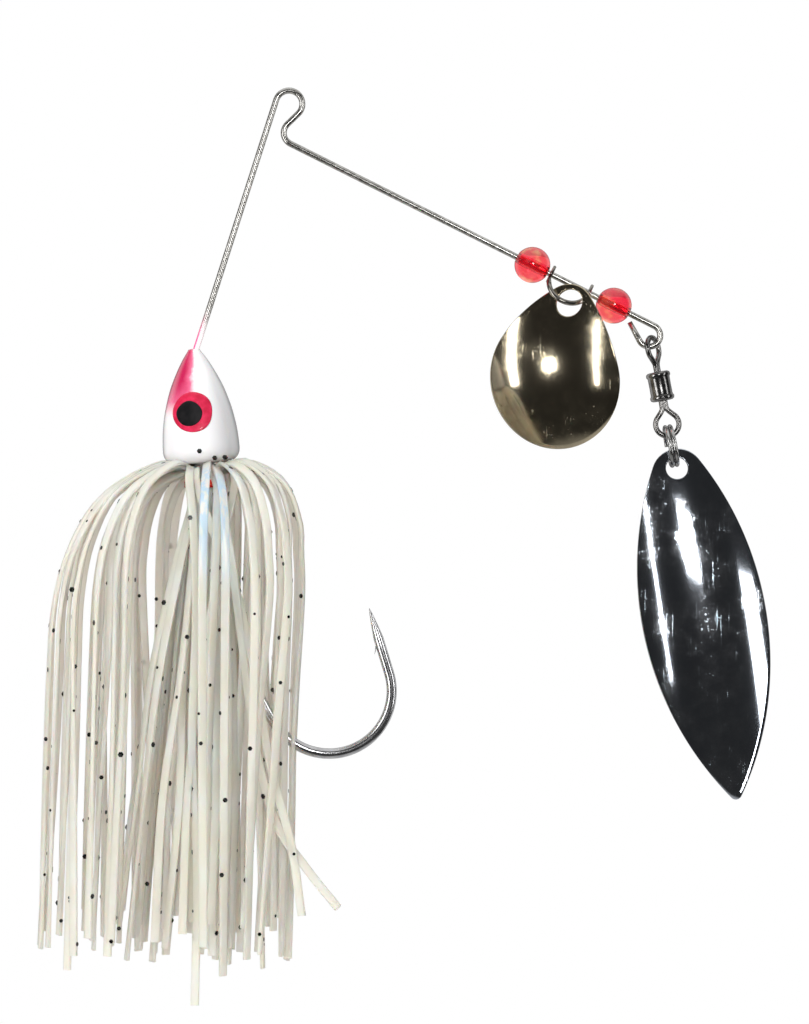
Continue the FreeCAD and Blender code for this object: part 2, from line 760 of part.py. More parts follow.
doc.recompute()
for item in doc.Objects:
    if {"Invalid", "Error"} & set(item.State):
        raise RuntimeError(f"{item.Name} is {item.State}")
os.makedirs("parts", exist_ok=True)
for item in sub_parts:
    shape = item.Shape
    if shape.isNull() or not shape.isValid() or not shape.Solids:
        raise RuntimeError(f"{item.Label} has no valid solid")
for item in sub_parts:
    item.Shape.exportStep(f"parts/{item.Label}.step")
    box = item.Shape.BoundBox
    print(
        f"{item.Label:18s} solids {len(item.Shape.Solids)} volume {item.Shape.Volume:9.2f}"
        f"  X {box.XMin:7.2f} {box.XMax:7.2f}  Y {box.YMin:7.2f} {box.YMax:7.2f}"
        f"  Z {box.ZMin:8.2f} {box.ZMax:8.2f}"
    )
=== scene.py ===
import math
import random

import bmesh
import bpy
from mathutils import Matrix, Vector, noise


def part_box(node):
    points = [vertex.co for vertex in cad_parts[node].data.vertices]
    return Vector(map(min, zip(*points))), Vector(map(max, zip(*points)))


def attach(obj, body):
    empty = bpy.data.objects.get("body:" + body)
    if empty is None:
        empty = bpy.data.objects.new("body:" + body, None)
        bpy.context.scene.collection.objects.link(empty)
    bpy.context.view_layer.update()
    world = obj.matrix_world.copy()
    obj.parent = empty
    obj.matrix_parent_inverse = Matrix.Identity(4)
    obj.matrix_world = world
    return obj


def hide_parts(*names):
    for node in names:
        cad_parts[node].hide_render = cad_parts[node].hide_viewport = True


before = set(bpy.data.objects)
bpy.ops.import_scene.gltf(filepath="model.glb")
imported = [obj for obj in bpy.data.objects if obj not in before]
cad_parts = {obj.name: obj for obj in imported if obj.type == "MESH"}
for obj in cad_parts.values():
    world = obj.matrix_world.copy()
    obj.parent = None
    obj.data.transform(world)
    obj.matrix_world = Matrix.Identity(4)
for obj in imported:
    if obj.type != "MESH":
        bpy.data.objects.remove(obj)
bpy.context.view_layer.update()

MM = 0.001
DEPTH = Vector((0, 1, 0))

# ---------------------------------------------------------------------------------------------
# The wire. One length of 1 mm stainless spring wire carries the whole lure: a lower arm that is
# cast into the head, the open line-tie loop with its return leg, and an upper arm that ends in a
# loop for the swivel. It is bent cold on pegs, so every bend is round and the finish is drawn.

WIRE_RADIUS = 0.51 * MM
BLADE_ARM_DROP = math.radians(26.6)
TIE_RADIUS = 2.2 * MM
TIE_TURN = math.radians(208)
END_LOOP_TURN = math.radians(215)
HEAD_ARM = 53.4 * MM
BLADE_ARM = 66.9 * MM


def set_stops(ramp_node, stops):
    """Give a Color Ramp its stops, each a position and a colour."""
    elements = ramp_node.color_ramp.elements
    while len(elements) < len(stops):
        elements.new(0.5)
    for element, (position, colour) in zip(elements, stops):
        element.position = position
        element.color = (*colour, 1)


class Link:
    """One output socket of a material, with arithmetic that adds Math nodes."""

    def __init__(self, finish, socket):
        self.finish = finish
        self.socket = socket

    def math(self, operation, *values):
        return self.finish.node("ShaderNodeMath", {"operation": operation}, dict(enumerate(values)))

    def __add__(self, other):
        return self.math("ADD", self, other)

    def __sub__(self, other):
        return self.math("SUBTRACT", self, other)

    def __rsub__(self, other):
        return self.math("SUBTRACT", other, self)

    def __mul__(self, other):
        return self.math("MULTIPLY", self, other)

    def __truediv__(self, other):
        return self.math("DIVIDE", self, other)

    def between(self, low, high):
        """0 below low, 1 above high and smooth from one to the other."""
        return self.finish.node(
            "ShaderNodeMapRange", {"interpolation_type": "SMOOTHSTEP"},
            {"Value": self, "From Min": low, "From Max": high},
        )

    __radd__ = __add__
    __rmul__ = __mul__


class Finish:
    """One material, built round a Principled shader whose constants are set on its own sockets."""

    def __init__(self, name, **constants):
        self.material = bpy.data.materials.new(name)
        self.material.use_nodes = True
        self.tree = self.material.node_tree
        self.shader = self.tree.nodes["Principled BSDF"]
        for socket, value in constants.items():
            self.shader.inputs[socket.replace("_", " ")].default_value = value
        self.place = self.node("ShaderNodeTexCoord", output="Object")

    def node(self, kind, settings=None, inputs=None, output=0):
        made = self.tree.nodes.new(kind)
        for name, value in (settings or {}).items():
            if name == "stops":
                set_stops(made, value)
            else:
                setattr(made, name, value)
        for name, value in (inputs or {}).items():
            if isinstance(value, Link):
                self.tree.links.new(value.socket, made.inputs[name])
            elif isinstance(value, tuple) and len(value) == 3 and made.inputs[name].type == "RGBA":
                made.inputs[name].default_value = (*value, 1)
            else:
                made.inputs[name].default_value = value
        return Link(self, made.outputs[output])

    def set(self, **links):
        for socket, link in links.items():
            self.tree.links.new(link.socket, self.shader.inputs[socket.replace("_", " ")])
        return self

    def noise(self, scale, detail=3.0, roughness=0.5, place=None):
        return self.node(
            "ShaderNodeTexNoise", None,
            {"Vector": place or self.place, "Scale": scale, "Detail": detail, "Roughness": roughness},
        )

    def stretch(self, *scale):
        """Object coordinates scaled along each axis, for marks that run one way."""
        return self.node("ShaderNodeMapping", None, {"Vector": self.place, "Scale": scale})

    def blend(self, factor, first, second):
        """Mix two colours, each a tuple or a link."""
        return self.node(
            "ShaderNodeMix", {"data_type": "RGBA"}, {0: factor, 6: first, 7: second}, output=2
        )

    def along(self, axis):
        """One object coordinate, in metres."""
        return self.node("ShaderNodeSeparateXYZ", None, {0: self.place}, output=axis)

    def bump(self, height, strength, depth):
        return self.node(
            "ShaderNodeBump", None, {"Height": height, "Strength": strength, "Distance": depth}
        )


def drawn_metal(name, dark, light, roughness, scale):
    """Bright drawn or plated wire: fine marks along it and a slightly uneven colour."""
    metal = Finish(name, Metallic=1.0, Roughness=roughness)
    marks = metal.noise(scale, 4.0, 0.6)
    patches = metal.noise(scale / 6, 2.0)
    colour = metal.blend((marks * 0.5 + patches * 0.5).between(0.35, 0.65), dark, light)
    metal.set(
        Base_Color=colour,
        Roughness=patches * 0.18 + roughness,
        Normal=metal.bump(marks, 0.25, 0.00003),
    )
    return metal


def put(mesh, name, body, node=None):
    """Make a finished mesh a piece on its body, in place of its CAD node."""
    piece = bpy.data.objects.new(name, mesh)
    bpy.context.scene.collection.objects.link(piece)
    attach(piece, body)
    if node:
        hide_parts(*([node] if isinstance(node, str) else node))
    return piece


def loop_mesh(name, loops, closed_along=False, caps=False, material=None):
    """Skin a row of equal rings of points with quads and shade it smooth."""
    bm = bmesh.new()
    rings = [[bm.verts.new(point) for point in ring] for ring in loops]
    count = len(rings[0])
    last = len(rings) if closed_along else len(rings) - 1
    for row in range(last):
        here, there = rings[row], rings[(row + 1) % len(rings)]
        for column in range(count):
            after = (column + 1) % count
            bm.faces.new((here[column], here[after], there[after], there[column]))
    if caps:
        bm.faces.new(reversed(rings[0]))
        bm.faces.new(rings[-1])
    bmesh.ops.remove_doubles(bm, verts=bm.verts, dist=1e-7)
    bmesh.ops.recalc_face_normals(bm, faces=bm.faces)
    mesh = bpy.data.meshes.new(name)
    bm.to_mesh(mesh)
    bm.free()
    for polygon in mesh.polygons:
        polygon.use_smooth = True
    if material:
        mesh.materials.append(material.material)
    return mesh


def flat(x, z):
    return Vector((x, 0, z))


def hoop(centre, across, up, radius, sides):
    """Points round a circle or, with two radii, an oval."""
    wide, tall = radius if isinstance(radius, tuple) else (radius, radius)
    turns = [2 * math.pi * k / sides for k in range(sides)]
    return [centre + across * (wide * math.cos(a)) + up * (tall * math.sin(a)) for a in turns]


def heading_vector(angle):
    return Vector((math.cos(angle), 0, math.sin(angle)))


class Bender:
    """Follows a wire in the X-Z plane through straight runs and round bends."""

    def __init__(self, start, heading, step=math.radians(7)):
        self.points = [start.copy()]
        self.heading = heading
        self.step = step

    def run(self, length, pieces=1):
        start = self.points[-1]
        for index in range(1, pieces + 1):
            self.points.append(start + heading_vector(self.heading) * (length * index / pieces))
        return self

    def bend(self, radius, turn):
        side = math.copysign(math.pi / 2, turn)
        centre = self.points[-1] + heading_vector(self.heading + side) * radius
        steps = max(2, math.ceil(abs(turn) / self.step))
        for index in range(1, steps + 1):
            angle = self.heading + side + turn * index / steps
            self.points.append(centre - heading_vector(angle) * radius)
        self.heading += turn
        return self


def tube(name, points, radius, material, sides=16, closed=False, flatten=None):
    """A round rod along points, its radius a number or a function of the share of its length."""
    lengths = [0.0]
    for first, second in zip(points, points[1:]):
        lengths.append(lengths[-1] + (second - first).length)
    total = lengths[-1]
    radius_at = radius if callable(radius) else (lambda share: radius)
    loops = []
    across = None
    for index, point in enumerate(points):
        if closed:
            along = points[(index + 1) % len(points)] - points[index - 1]
        else:
            along = points[min(index + 1, len(points) - 1)] - points[max(index - 1, 0)]
        along.normalize()
        if across is None:
            across = DEPTH if abs(along.y) < 0.9 else Vector((1, 0, 0))
        across = (across - along * across.dot(along)).normalized()
        third = along.cross(across)
        size = radius_at(lengths[index] / total)
        wide, thin = flatten(lengths[index] / total) if flatten else (1, 1)
        loops.append(hoop(point, across, third, (size * wide, size * thin), sides))
    return loop_mesh(name, loops, closed_along=closed, caps=not closed, material=material)


wire_metal = Finish("drawn_stainless", Metallic=1.0, Roughness=0.24)
wire_marks = wire_metal.noise(1500.0, 4.0, 0.6)
overspray_top = -33.2 * MM
overspray = 1 - wire_metal.along(2).between(-39.0 * MM, overspray_top)
overspray = overspray * (1 - wire_metal.along(0).between(0, 1 * MM))
overspray_side = 1 - (wire_metal.along(0) - wire_metal.along(2) * 0.321).between(-2.75 * MM, -2.25 * MM)
wire_colour = wire_metal.blend(wire_marks.between(0.3, 0.7), (0.34, 0.33, 0.31), (0.62, 0.61, 0.58))
sprayed = wire_metal.blend(overspray_side, (0.86, 0.74, 0.76), (0.66, 0.05, 0.2))
wire_metal.set(
    Base_Color=wire_metal.blend(overspray, wire_colour, sprayed),
    Metallic=1 - overspray,
    Roughness=wire_marks * 0.2 + 0.14,
    Normal=wire_metal.bump(wire_marks, 0.1, 0.00002),
)

up_heading = math.radians(90 - 17.8)
tie_start = heading_vector(up_heading + math.pi / 2) * TIE_RADIUS
elbow_turn = -BLADE_ARM_DROP - (up_heading - TIE_TURN)
upper_arm = Bender(tie_start, up_heading).bend(TIE_RADIUS, -TIE_TURN).run(2.5 * MM)
upper_arm.bend(2.0 * MM, elbow_turn)
arm_start = upper_arm.points[-1].copy()
upper_arm.run(BLADE_ARM, 8).bend(1.8 * MM, -END_LOOP_TURN).run(3.5 * MM)
lower_arm = Bender(tie_start, up_heading - math.pi).run(HEAD_ARM, 8)
lower_arm.bend(1.2 * MM, math.radians(121.1)).run(3.2 * MM)
wire_points = list(reversed(lower_arm.points)) + upper_arm.points[1:]


def sheared_end(share):
    """The wire's two ends are rounded over by the cutter."""
    edge = min(share, 1 - share)
    return WIRE_RADIUS * (1 if edge > 0.002 else 0.8)


wire_mesh = tube("bent_wire", wire_points, sheared_end, wire_metal, sides=18)
put(wire_mesh, "bent_wire", "root", "wire_frame")

arm_along = heading_vector(-BLADE_ARM_DROP)
arm_up = heading_vector(math.pi / 2 - BLADE_ARM_DROP)


def on_arm(distance, rise=0.0):
    """Point on the blade arm, measured from the elbow, and a rise square to it."""
    return arm_start + arm_along * distance + arm_up * rise


# ---------------------------------------------------------------------------------------------
# The hook. A forged 5/0 hook of 1.65 mm nickel-plated steel: its eye is cast into the head, the
# shank is straight, and the bend runs into a needle point with one barb cut up on the inside.

HOOK_RADIUS = 0.825 * MM
HOOK_EYE_RADIUS = 1.45 * MM
EYE_ABOVE_COLLAR = 8.95 * MM
POINT_LENGTH = 5.2 * MM
SHANK_LEAN = math.radians(13.3)

hook_metal = drawn_metal("nickel_plated_hook", (0.48, 0.48, 0.49), (0.72, 0.72, 0.73), 0.13, 700.0)

shank_heading = SHANK_LEAN - math.pi / 2
shank_along = heading_vector(shank_heading)
collar_end = flat(-13.8 * MM, -60.2 * MM)
hook_eye = collar_end - shank_along * EYE_ABOVE_COLLAR
hook_line = Bender(hook_eye + shank_along * HOOK_EYE_RADIUS, shank_heading, math.radians(4))
hook_line.run((8.95 - 1.45 + 35.4) * MM, 10).bend(20 * MM, math.radians(28.7))
hook_line.bend(10.3 * MM, math.radians(155.0)).run(5.9 * MM, 3)
needle_start = hook_line.points[-1].copy()
hook_line.run(POINT_LENGTH, 12)
hook_length = sum((b - a).length for a, b in zip(hook_line.points, hook_line.points[1:]))


def needle(share):
    """Full wire up to the last five millimetres, then a slightly hollow point."""
    left = (1 - share) * hook_length / POINT_LENGTH
    return HOOK_RADIUS * (0.05 + 0.95 * min(1.0, left) ** 0.8)


def forged(share):
    """The bend is hammered a little flat on both sides."""
    bend = max(0.0, 1 - abs(share - 0.66) / 0.2)
    return 1 - 0.1 * bend, 1 + 0.05 * bend


hook_mesh = tube("hook_wire", hook_line.points, needle, hook_metal, sides=24, flatten=forged)
put(hook_mesh, "hook_wire", "root", "hook")

eye_points = hoop(hook_eye, shank_along, DEPTH, HOOK_EYE_RADIUS, 40)
put(tube("hook_eye_ring", eye_points, 0.65 * MM, hook_metal, closed=True), "hook_eye_ring", "root")

point_along = heading_vector(hook_line.heading)
inward = heading_vector(hook_line.heading + math.pi / 2)
barb_root = needle_start + inward * (0.55 * MM)
barb_loops = []
for share, lift, half in (
    (0, 0.0, 0.1), (0.25, 0.16, 0.3), (0.5, 0.36, 0.38), (0.8, 0.62, 0.36), (1.0, 0.86, 0.05),
):
    centre = barb_root - point_along * (share * 2.3 * MM) + inward * (lift * MM)
    under = 0.34 * MM * (1 - share * 0.8)
    barb_loops.append([
        centre + Vector((0, half * MM, 0)) - inward * under,
        centre + Vector((0, half * MM, 0)),
        centre + Vector((0, -half * MM, 0)),
        centre + Vector((0, -half * MM, 0)) - inward * under,
    ])
put(loop_mesh("hook_barb", barb_loops, caps=True, material=hook_metal), "hook_barb", "root")

# ---------------------------------------------------------------------------------------------
# The head. Lead, cast round the hook's eye and the wire's anchor bend, dipped in white gloss
# paint and sprayed pink from the front left, so the nose and the first of the wire are pink.

HEAD_TILT = math.radians(4.2)
NOSE = flat(-15.62 * MM, -40.4 * MM)
NOSE_RADIUS = 0.95 * MM
BELLY_RADIUS = 6.26 * MM
BELLY_DROP = 16.6 * MM
SIDE_RADIUS = 28.3 * MM
BASE_RADIUS = 2.2 * MM
head_turn = Matrix.Rotation(-HEAD_TILT, 4, "Y")
head_place = Matrix.Translation(NOSE) @ head_turn


def head_radius(drop):
    """Radius of the head at a distance below its nose."""
    if drop <= BELLY_DROP:
        rise = BELLY_DROP - drop
        side = BELLY_RADIUS - SIDE_RADIUS + math.sqrt(SIDE_RADIUS**2 - rise**2)
        return max(side, NOSE_RADIUS)
    over = min(drop - BELLY_DROP, BASE_RADIUS)
    return BELLY_RADIUS - BASE_RADIUS + math.sqrt(max(0.0, BASE_RADIUS**2 - over**2))


head_paint = Finish(
    "white_gloss_paint", Roughness=0.22, Coat_Weight=0.8, Coat_Roughness=0.08,
    Subsurface_Weight=0.12, Subsurface_Scale=0.002,
)
drop = (head_paint.along(2) - NOSE.z) * -1.0
mottle = head_paint.noise(420.0, 4.0, 0.6)
axis_offset = head_paint.along(0) - NOSE.x - drop * math.tan(HEAD_TILT)
taper = 1 - drop / BELLY_DROP
girth = (1 - taper * taper) * (BELLY_RADIUS - NOSE_RADIUS) + NOSE_RADIUS
across = axis_offset / girth + mottle * 0.5 - 0.25
spray = (1 - across.between(-0.55, 0.22)) * (1 - drop.between(5.0 * MM, 13.0 * MM))
blush = head_paint.node(
    "ShaderNodeValToRGB",
    {"stops": [(0.0, (0.88, 0.87, 0.87)), (0.25, (0.86, 0.60, 0.64)), (0.55, (0.72, 0.12, 0.24)),
               (1.0, (0.50, 0.012, 0.08))]},
    {0: spray},
)
# Painted shade: the white paint is greyed towards the head's right side, where the lamps leave it in
# shade.
shade_side = axis_offset.between(1.5 * MM, 6.0 * MM)
pearl_with_painted_shade = head_paint.blend(shade_side, (0.80, 0.79, 0.80), (0.60, 0.60, 0.61))
paint_colour = head_paint.blend(spray.between(0.02, 0.3), pearl_with_painted_shade, blush)
orange_peel = head_paint.noise(1600.0, 2.0)
head_paint.set(
    Base_Color=paint_colour,
    Roughness=mottle * 0.12 + 0.16,
    Normal=head_paint.bump(orange_peel * 0.6 + mottle * 0.4, 0.25, 0.00004),
)

head_rows = 60
head_sides = 120
head_loops = []
total_drop = BELLY_DROP + BASE_RADIUS
for row in range(head_rows + 1):
    share = row / head_rows
    if share < 0.85:
        drop = total_drop * (share / 0.85) * (BELLY_DROP / total_drop)
    else:
        drop = BELLY_DROP + BASE_RADIUS * math.sin((share - 0.85) / 0.15 * math.pi / 2)
    ring = []
    for side in range(head_sides):
        angle = 2 * math.pi * side / head_sides
        seam = 0.05 * MM * math.exp(-((math.sin(angle) * 9) ** 2)) * min(1, drop / MM)
        wobble = 0.03 * MM * noise.noise(Vector((math.cos(angle) * 2, math.sin(angle) * 2, drop * 400)))
        radius = head_radius(drop) + seam + wobble
        ring.append(head_place @ Vector((radius * math.cos(angle), radius * math.sin(angle), -drop)))
    head_loops.append(ring)


def head_ring(radius, height):
    """A ring square to the head's axis, at a height over its nose."""
    ring = hoop(Vector((0, 0, height)), Vector((1, 0, 0)), DEPTH, radius, head_sides)
    return [head_place @ point for point in ring]


base_height = -total_drop - 0.02 * MM
head_loops += [head_ring(BELLY_RADIUS * share, base_height) for share in (0.6, 0.25)]
head_loops.insert(0, head_ring(NOSE_RADIUS * 0.7, 0.08 * MM))
head_mesh = loop_mesh("cast_head", head_loops, caps=True, material=head_paint)
put(head_mesh, "cast_head", "root", "jig_head")

collar_top = collar_end - shank_along * (2.2 * MM)
collar_points = [collar_top + shank_along * (6.6 * MM * k / 12) for k in range(13)]
put(
    tube(
        "cast_collar", collar_points,
        lambda share: (1.66 if share < 0.85 else 1.66 - (share - 0.85) * 4) * MM, head_paint, sides=32,
    ),
    "cast_collar", "root",
)

# ---------------------------------------------------------------------------------------------
# The eyes. A dot of red enamel on each side of the head with a smaller black dot pressed in
# it with a round punch, a little forward and low of the middle. Both dry to a soft dome.

EYE = flat(-15.5 * MM, -50.85 * MM)
PUPIL = flat(-16.0 * MM, -51.1 * MM)
head_back = head_place.inverted()


def on_head(x, z, side, lift):
    """Point of the head's surface seen from one side at x and z, raised by lift."""
    local = head_back @ Vector((x, 0, z))
    radius = head_radius(-local.z)
    depth = math.sqrt(max(0.0, radius**2 - local.x**2))
    near = Vector((local.x, side * depth, local.z))
    outwards = Vector((local.x, side * depth, 0)).normalized()
    return head_place @ (near + outwards * lift)


def enamel_dot(name, centre, radius, inner, thick, side, seed, finish):
    """A domed dot or ring of enamel that follows the head, with an uneven brushed edge."""
    draw = random.Random(seed)
    waves = [(draw.uniform(0.004, 0.014), draw.uniform(0, 6.28)) for wave in range(4)]
    steps = 96
    profile = [(1.0, -0.25), (1.0, 0.25), (0.985, 0.65), (0.95, 0.9), (0.88, 1.0), (0.7, 1.0)]
    if inner:
        profile += [(inner / radius + 0.04, 0.96), (inner / radius, 0.8), (inner / radius - 0.03, -0.25)]
    else:
        profile += [(0.45, 1.0), (0.2, 1.0), (0.02, 1.0)]
    loops = []
    for share, lift in profile:
        ring = []
        for step in range(steps):
            angle = 2 * math.pi * step / steps
            wave = 1 + sum(
                size * math.cos((k + 2) * angle + turn) for k, (size, turn) in enumerate(waves)
            )
            edge = radius * share * (wave if share > 0.9 else 1)
            middle = centre if share > 0.9 or not inner else PUPIL
            if inner and share <= 0.9:
                edge = radius * share
                if share > inner / radius + 0.03:
                    middle = centre.lerp(PUPIL, (0.9 - share) / (0.9 - inner / radius))
            x = middle.x + edge * math.cos(angle)
            z = middle.z + edge * math.sin(angle)
            ring.append(on_head(x, z, side, lift * thick))
        loops.append(ring)
    if inner:
        return loop_mesh(name, loops + [loops[0]], material=finish)
    return loop_mesh(name, loops, caps=True, material=finish)


def enamel(name, deep, bright, roughness, coat=0.3):
    gloss = Finish(name, Roughness=roughness, Coat_Weight=coat, Coat_Roughness=0.1)
    strokes = gloss.noise(900.0, 3.0)
    gloss.set(
        Base_Color=gloss.blend(strokes.between(0.3, 0.7), deep, bright),
        Roughness=strokes * 0.15 + roughness,
        Normal=gloss.bump(strokes, 0.2, 0.00005),
    )
    return gloss


red_enamel = enamel("red_enamel", (0.48, 0.006, 0.04), (0.66, 0.015, 0.075), 0.3)
black_enamel = enamel("black_enamel", (0.003, 0.003, 0.004), (0.009, 0.008, 0.009), 0.5, 0.0)
for side, label, seed in ((-1, "near", 11), (1, "far", 12)):
    iris = enamel_dot(f"eye_red_{label}", EYE, 3.3 * MM, 2.08 * MM, 0.14 * MM, side, seed, red_enamel)
    put(iris, f"eye_red_{label}", "root", f"iris_{label}")
    pupil = enamel_dot(f"eye_black_{label}", PUPIL, 2.1 * MM, 0, 0.17 * MM, side, seed + 4, black_enamel)
    put(pupil, f"eye_black_{label}", "root", f"pupil_{label}")

# ---------------------------------------------------------------------------------------------
# The skirt's tie. Red foil thread is wound tight round the middle of the strands on the collar.

band_low, band_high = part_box("skirt_band")
band_centre = (band_low + band_high) / 2
BAND_RADIUS = 3.78 * MM

foil = Finish("red_foil_thread", Metallic=0.55, Roughness=0.25)
glints = foil.node("ShaderNodeTexVoronoi", None, {"Vector": foil.place, "Scale": 2600.0}, output="Color")
glint = foil.node("ShaderNodeSeparateColor", None, {0: glints})
# Painted glints: the bright orange-red cells in the thread's colour stand in for glints; the same cells
# also vary its roughness and bump.
foil.set(
    Base_Color=foil.blend(glint.between(0.2, 0.9), (0.55, 0.004, 0.01), (1.0, 0.1, 0.06)),
    Roughness=glint * 0.3 + 0.15,
    Normal=foil.bump(glint, 0.6, 0.00006),
)
band_turns = 5
thread_radius = 0.17 * MM
wraps = []
for step in range(band_turns * 48 + 1):
    angle = 2 * math.pi * step / 48
    rise = (step / (band_turns * 48) - 0.5) * 1.15 * MM
    swell = BAND_RADIUS + 0.05 * MM * math.sin(step * 0.83)
    wraps.append(band_centre + Vector((math.cos(angle) * swell, math.sin(angle) * swell, rise)))
put(tube("band_thread", wraps, thread_radius, foil, sides=8), "band_thread", "root", "skirt_band")
sleeve = [band_centre + Vector((0, 0, height * MM)) for height in (-0.6, -0.3, 0, 0.3, 0.6)]
put(tube("band_core", sleeve, BAND_RADIUS - 0.08 * MM, foil, sides=48), "band_core", "root")

# ---------------------------------------------------------------------------------------------
# The skirt. About fifty flat strands of clear pearl silicone with black glitter moulded in. Each
# is tied in its middle: the front half folds over the tie and hangs outside like an umbrella, the
# rear half hangs straight down inside round the hook's shank.

TIE_CIRCLE = 3.0 * MM
FOLD_TOP = -59.2 * MM
SKIRT_SHIFT = -5.1 * MM
SKIRT_HALF_WIDTH = 20.6 * MM
SKIRT_HALF_DEPTH = 16.6 * MM
STRAND_WIDTH = 1.4 * MM
STRAND_THICK = 0.62 * MM
FLAKE_RADIUS = 0.42 * MM
FRONT_COUNT = 66
REAR_COUNT = 34
FRONT_GAP = (268, 19)
REAR_GAP = 24

silicone = Finish(
    "pearl_silicone", Roughness=0.3, IOR=1.41, Transmission_Weight=0.55, Subsurface_Weight=0.3,
    Subsurface_Scale=0.002, Coat_Weight=0.3, Coat_Roughness=0.15,
)
cloud = silicone.noise(160.0, 3.0)
streak = silicone.noise(1.0, 3.0, 0.6, silicone.stretch(900, 900, 40))
tone = silicone.node(
    "ShaderNodeAttribute", {"attribute_name": "tone"}, output="Fac"
)
cream = silicone.blend(tone, (0.92, 0.87, 0.79), (1.0, 0.95, 0.84))
cream = silicone.blend(cloud.between(0.4, 0.75), cream, (0.98, 0.95, 0.90))
# Painted sheen: a streaky blue-white patch is painted into the silicone's colour on the strands facing
# the viewer, in the middle below the tie.
sheen_up = silicone.along(2).between(-84.0 * MM, -66.0 * MM)
from_middle = silicone.along(0) + 12.6 * MM
sheen_mid = 1 - from_middle.math("ABSOLUTE", from_middle).between(2.5 * MM, 6.5 * MM)
sheen_front = 1 - silicone.along(1).between(-13.0 * MM, -5.0 * MM)
painted_sheen = sheen_up * sheen_mid * sheen_front * streak.between(0.38, 0.55)
silicone.set(
    Base_Color=silicone.blend(painted_sheen, cream, (0.60, 0.80, 0.98)),
    Roughness=streak * 0.25 + 0.22,
    Normal=silicone.bump(streak * 0.7 + cloud * 0.3, 0.3, 0.00006),
)

glitter = Finish("black_glitter", Metallic=0.4, Roughness=0.3)
flicker = glitter.noise(2500.0, 1.0)
glitter.set(
    Base_Color=glitter.blend(flicker.between(0.35, 0.65), (0.004, 0.004, 0.004), (0.05, 0.05, 0.048)),
    Roughness=flicker * 0.3 + 0.15,
)


def smooth_path(corners, count):
    """Even points along a Catmull-Rom curve through given corners."""
    rail = [corners[0] * 2 - corners[1]] + corners + [corners[-1] * 2 - corners[-2]]
    dense = []
    for index in range(1, len(rail) - 2):
        a, b, c, d = rail[index - 1], rail[index], rail[index + 1], rail[index + 2]
        for step in range(14):
            t = step / 14
            dense.append(
                0.5 * ((2 * b) + (c - a) * t + (2 * a - 5 * b + 4 * c - d) * t**2
                       + (3 * b - a - 3 * c + d) * t**3)
            )
    dense.append(rail[-2])
    lengths = [0.0]
    for first, second in zip(dense, dense[1:]):
        lengths.append(lengths[-1] + (second - first).length)
    points = []
    place = 0
    for index in range(count + 1):
        target = lengths[-1] * index / count
        while place < len(lengths) - 2 and lengths[place + 1] < target:
            place += 1
        span = lengths[place + 1] - lengths[place]
        share = (target - lengths[place]) / span if span else 0
        points.append(dense[place].lerp(dense[place + 1], share))
    return points


def front_half(around, draw, layer):
    """Route of a folded half: up through the tie, over and out, then down to a ragged tip."""
    rim_x = SKIRT_SHIFT + SKIRT_HALF_WIDTH * layer * math.cos(around)
    rim_y = SKIRT_HALF_DEPTH * layer * math.sin(around)
    reach = math.hypot(rim_x, rim_y)
    out = Vector((rim_x, rim_y, 0)).normalized()
    side = Vector((-out.y, out.x, 0))
    base = Vector((band_centre.x, 0, 0))
    lean = -0.037 * math.cos(around)
    boxy = (1 + math.cos(around)) / 2
    tip = (-137.0 + draw.uniform(-4.6, 3.4)) * MM
    crest = FOLD_TOP - (1 - layer) * 3.0 * MM + draw.uniform(-0.7, 0.5) * MM
    wave = draw.uniform(-1.6, 1.6) * MM
    drift = draw.uniform(-3.6, 3.6) * MM
    sag = draw.uniform(-0.06, 0.06)
    corners = []
    for left, right, fall, square_fall, sway in (
        (0.30, 0.43, 0.0, -0.03, 0.1), (0.67, 0.82, 0.195, 0.17, 0.4), (0.88, 1.0, 0.52, 0.6, 0.7),
        (0.975, 1.02, 0.9, 0.95, 0.9), (1.0, 1.03, 1.33, 1.4, 1.0),
    ):
        away = reach * (left + (right - left) * boxy + sag * sway)
        height = crest - reach * (fall + (square_fall - fall) * boxy)
        corners.append((max(away, TIE_CIRCLE + 1.5 * MM), height, sway))
    low = corners[-1][1]
    ends = [
        (reach * (1 + sag) + lean * (low - height), height, sway)
        for height, sway in ((low * 0.7 + tip * 0.3, 0.7), (low * 0.35 + tip * 0.65, 0.1), (tip, -0.5))
    ]
    tie = [(TIE_CIRCLE - 0.2 * MM, -64.4 * MM, 0), (TIE_CIRCLE + 0.2 * MM, -61.0 * MM, 0)]
    return smooth_path([
        base + out * away + side * (sway * wave + (drift if height < low else 0) * (low - height) * 14)
        + Vector((0, 0, height))
        for away, height, sway in tie + corners + ends
    ], 54), out


def rear_half(around, draw, spread):
    """Route of a hanging half: straight down out of the tie, spreading a little."""
    out = Vector((math.cos(around), math.sin(around), 0))
    side = Vector((-out.y, out.x, 0))
    base = Vector((band_centre.x, 0, 0))
    tip = (-136.0 + draw.uniform(-5.5, 3.5)) * MM
    wave = draw.uniform(-1.0, 1.0) * MM
    pull = Vector((-4.2 * MM, 0, 0))
    corners = []
    for away, height, sway in (
        (TIE_CIRCLE - 0.3 * MM, -61.6 * MM, 0),
        (TIE_CIRCLE - 0.1 * MM, -65.5 * MM, 0),
        (TIE_CIRCLE + 0.25 * spread, -76 * MM, 0.4),
        (TIE_CIRCLE + 0.6 * spread, -94 * MM, 1.0),
        (TIE_CIRCLE + 0.85 * spread, -114 * MM, -0.4),
        (TIE_CIRCLE + spread, tip, 0.6),
    ):
        fall = max(0.0, (-64 * MM - height) / (72 * MM))
        corners.append(base + out * away + side * (sway * wave) + pull * fall + Vector((0, 0, height)))
    return smooth_path(corners, 46), out


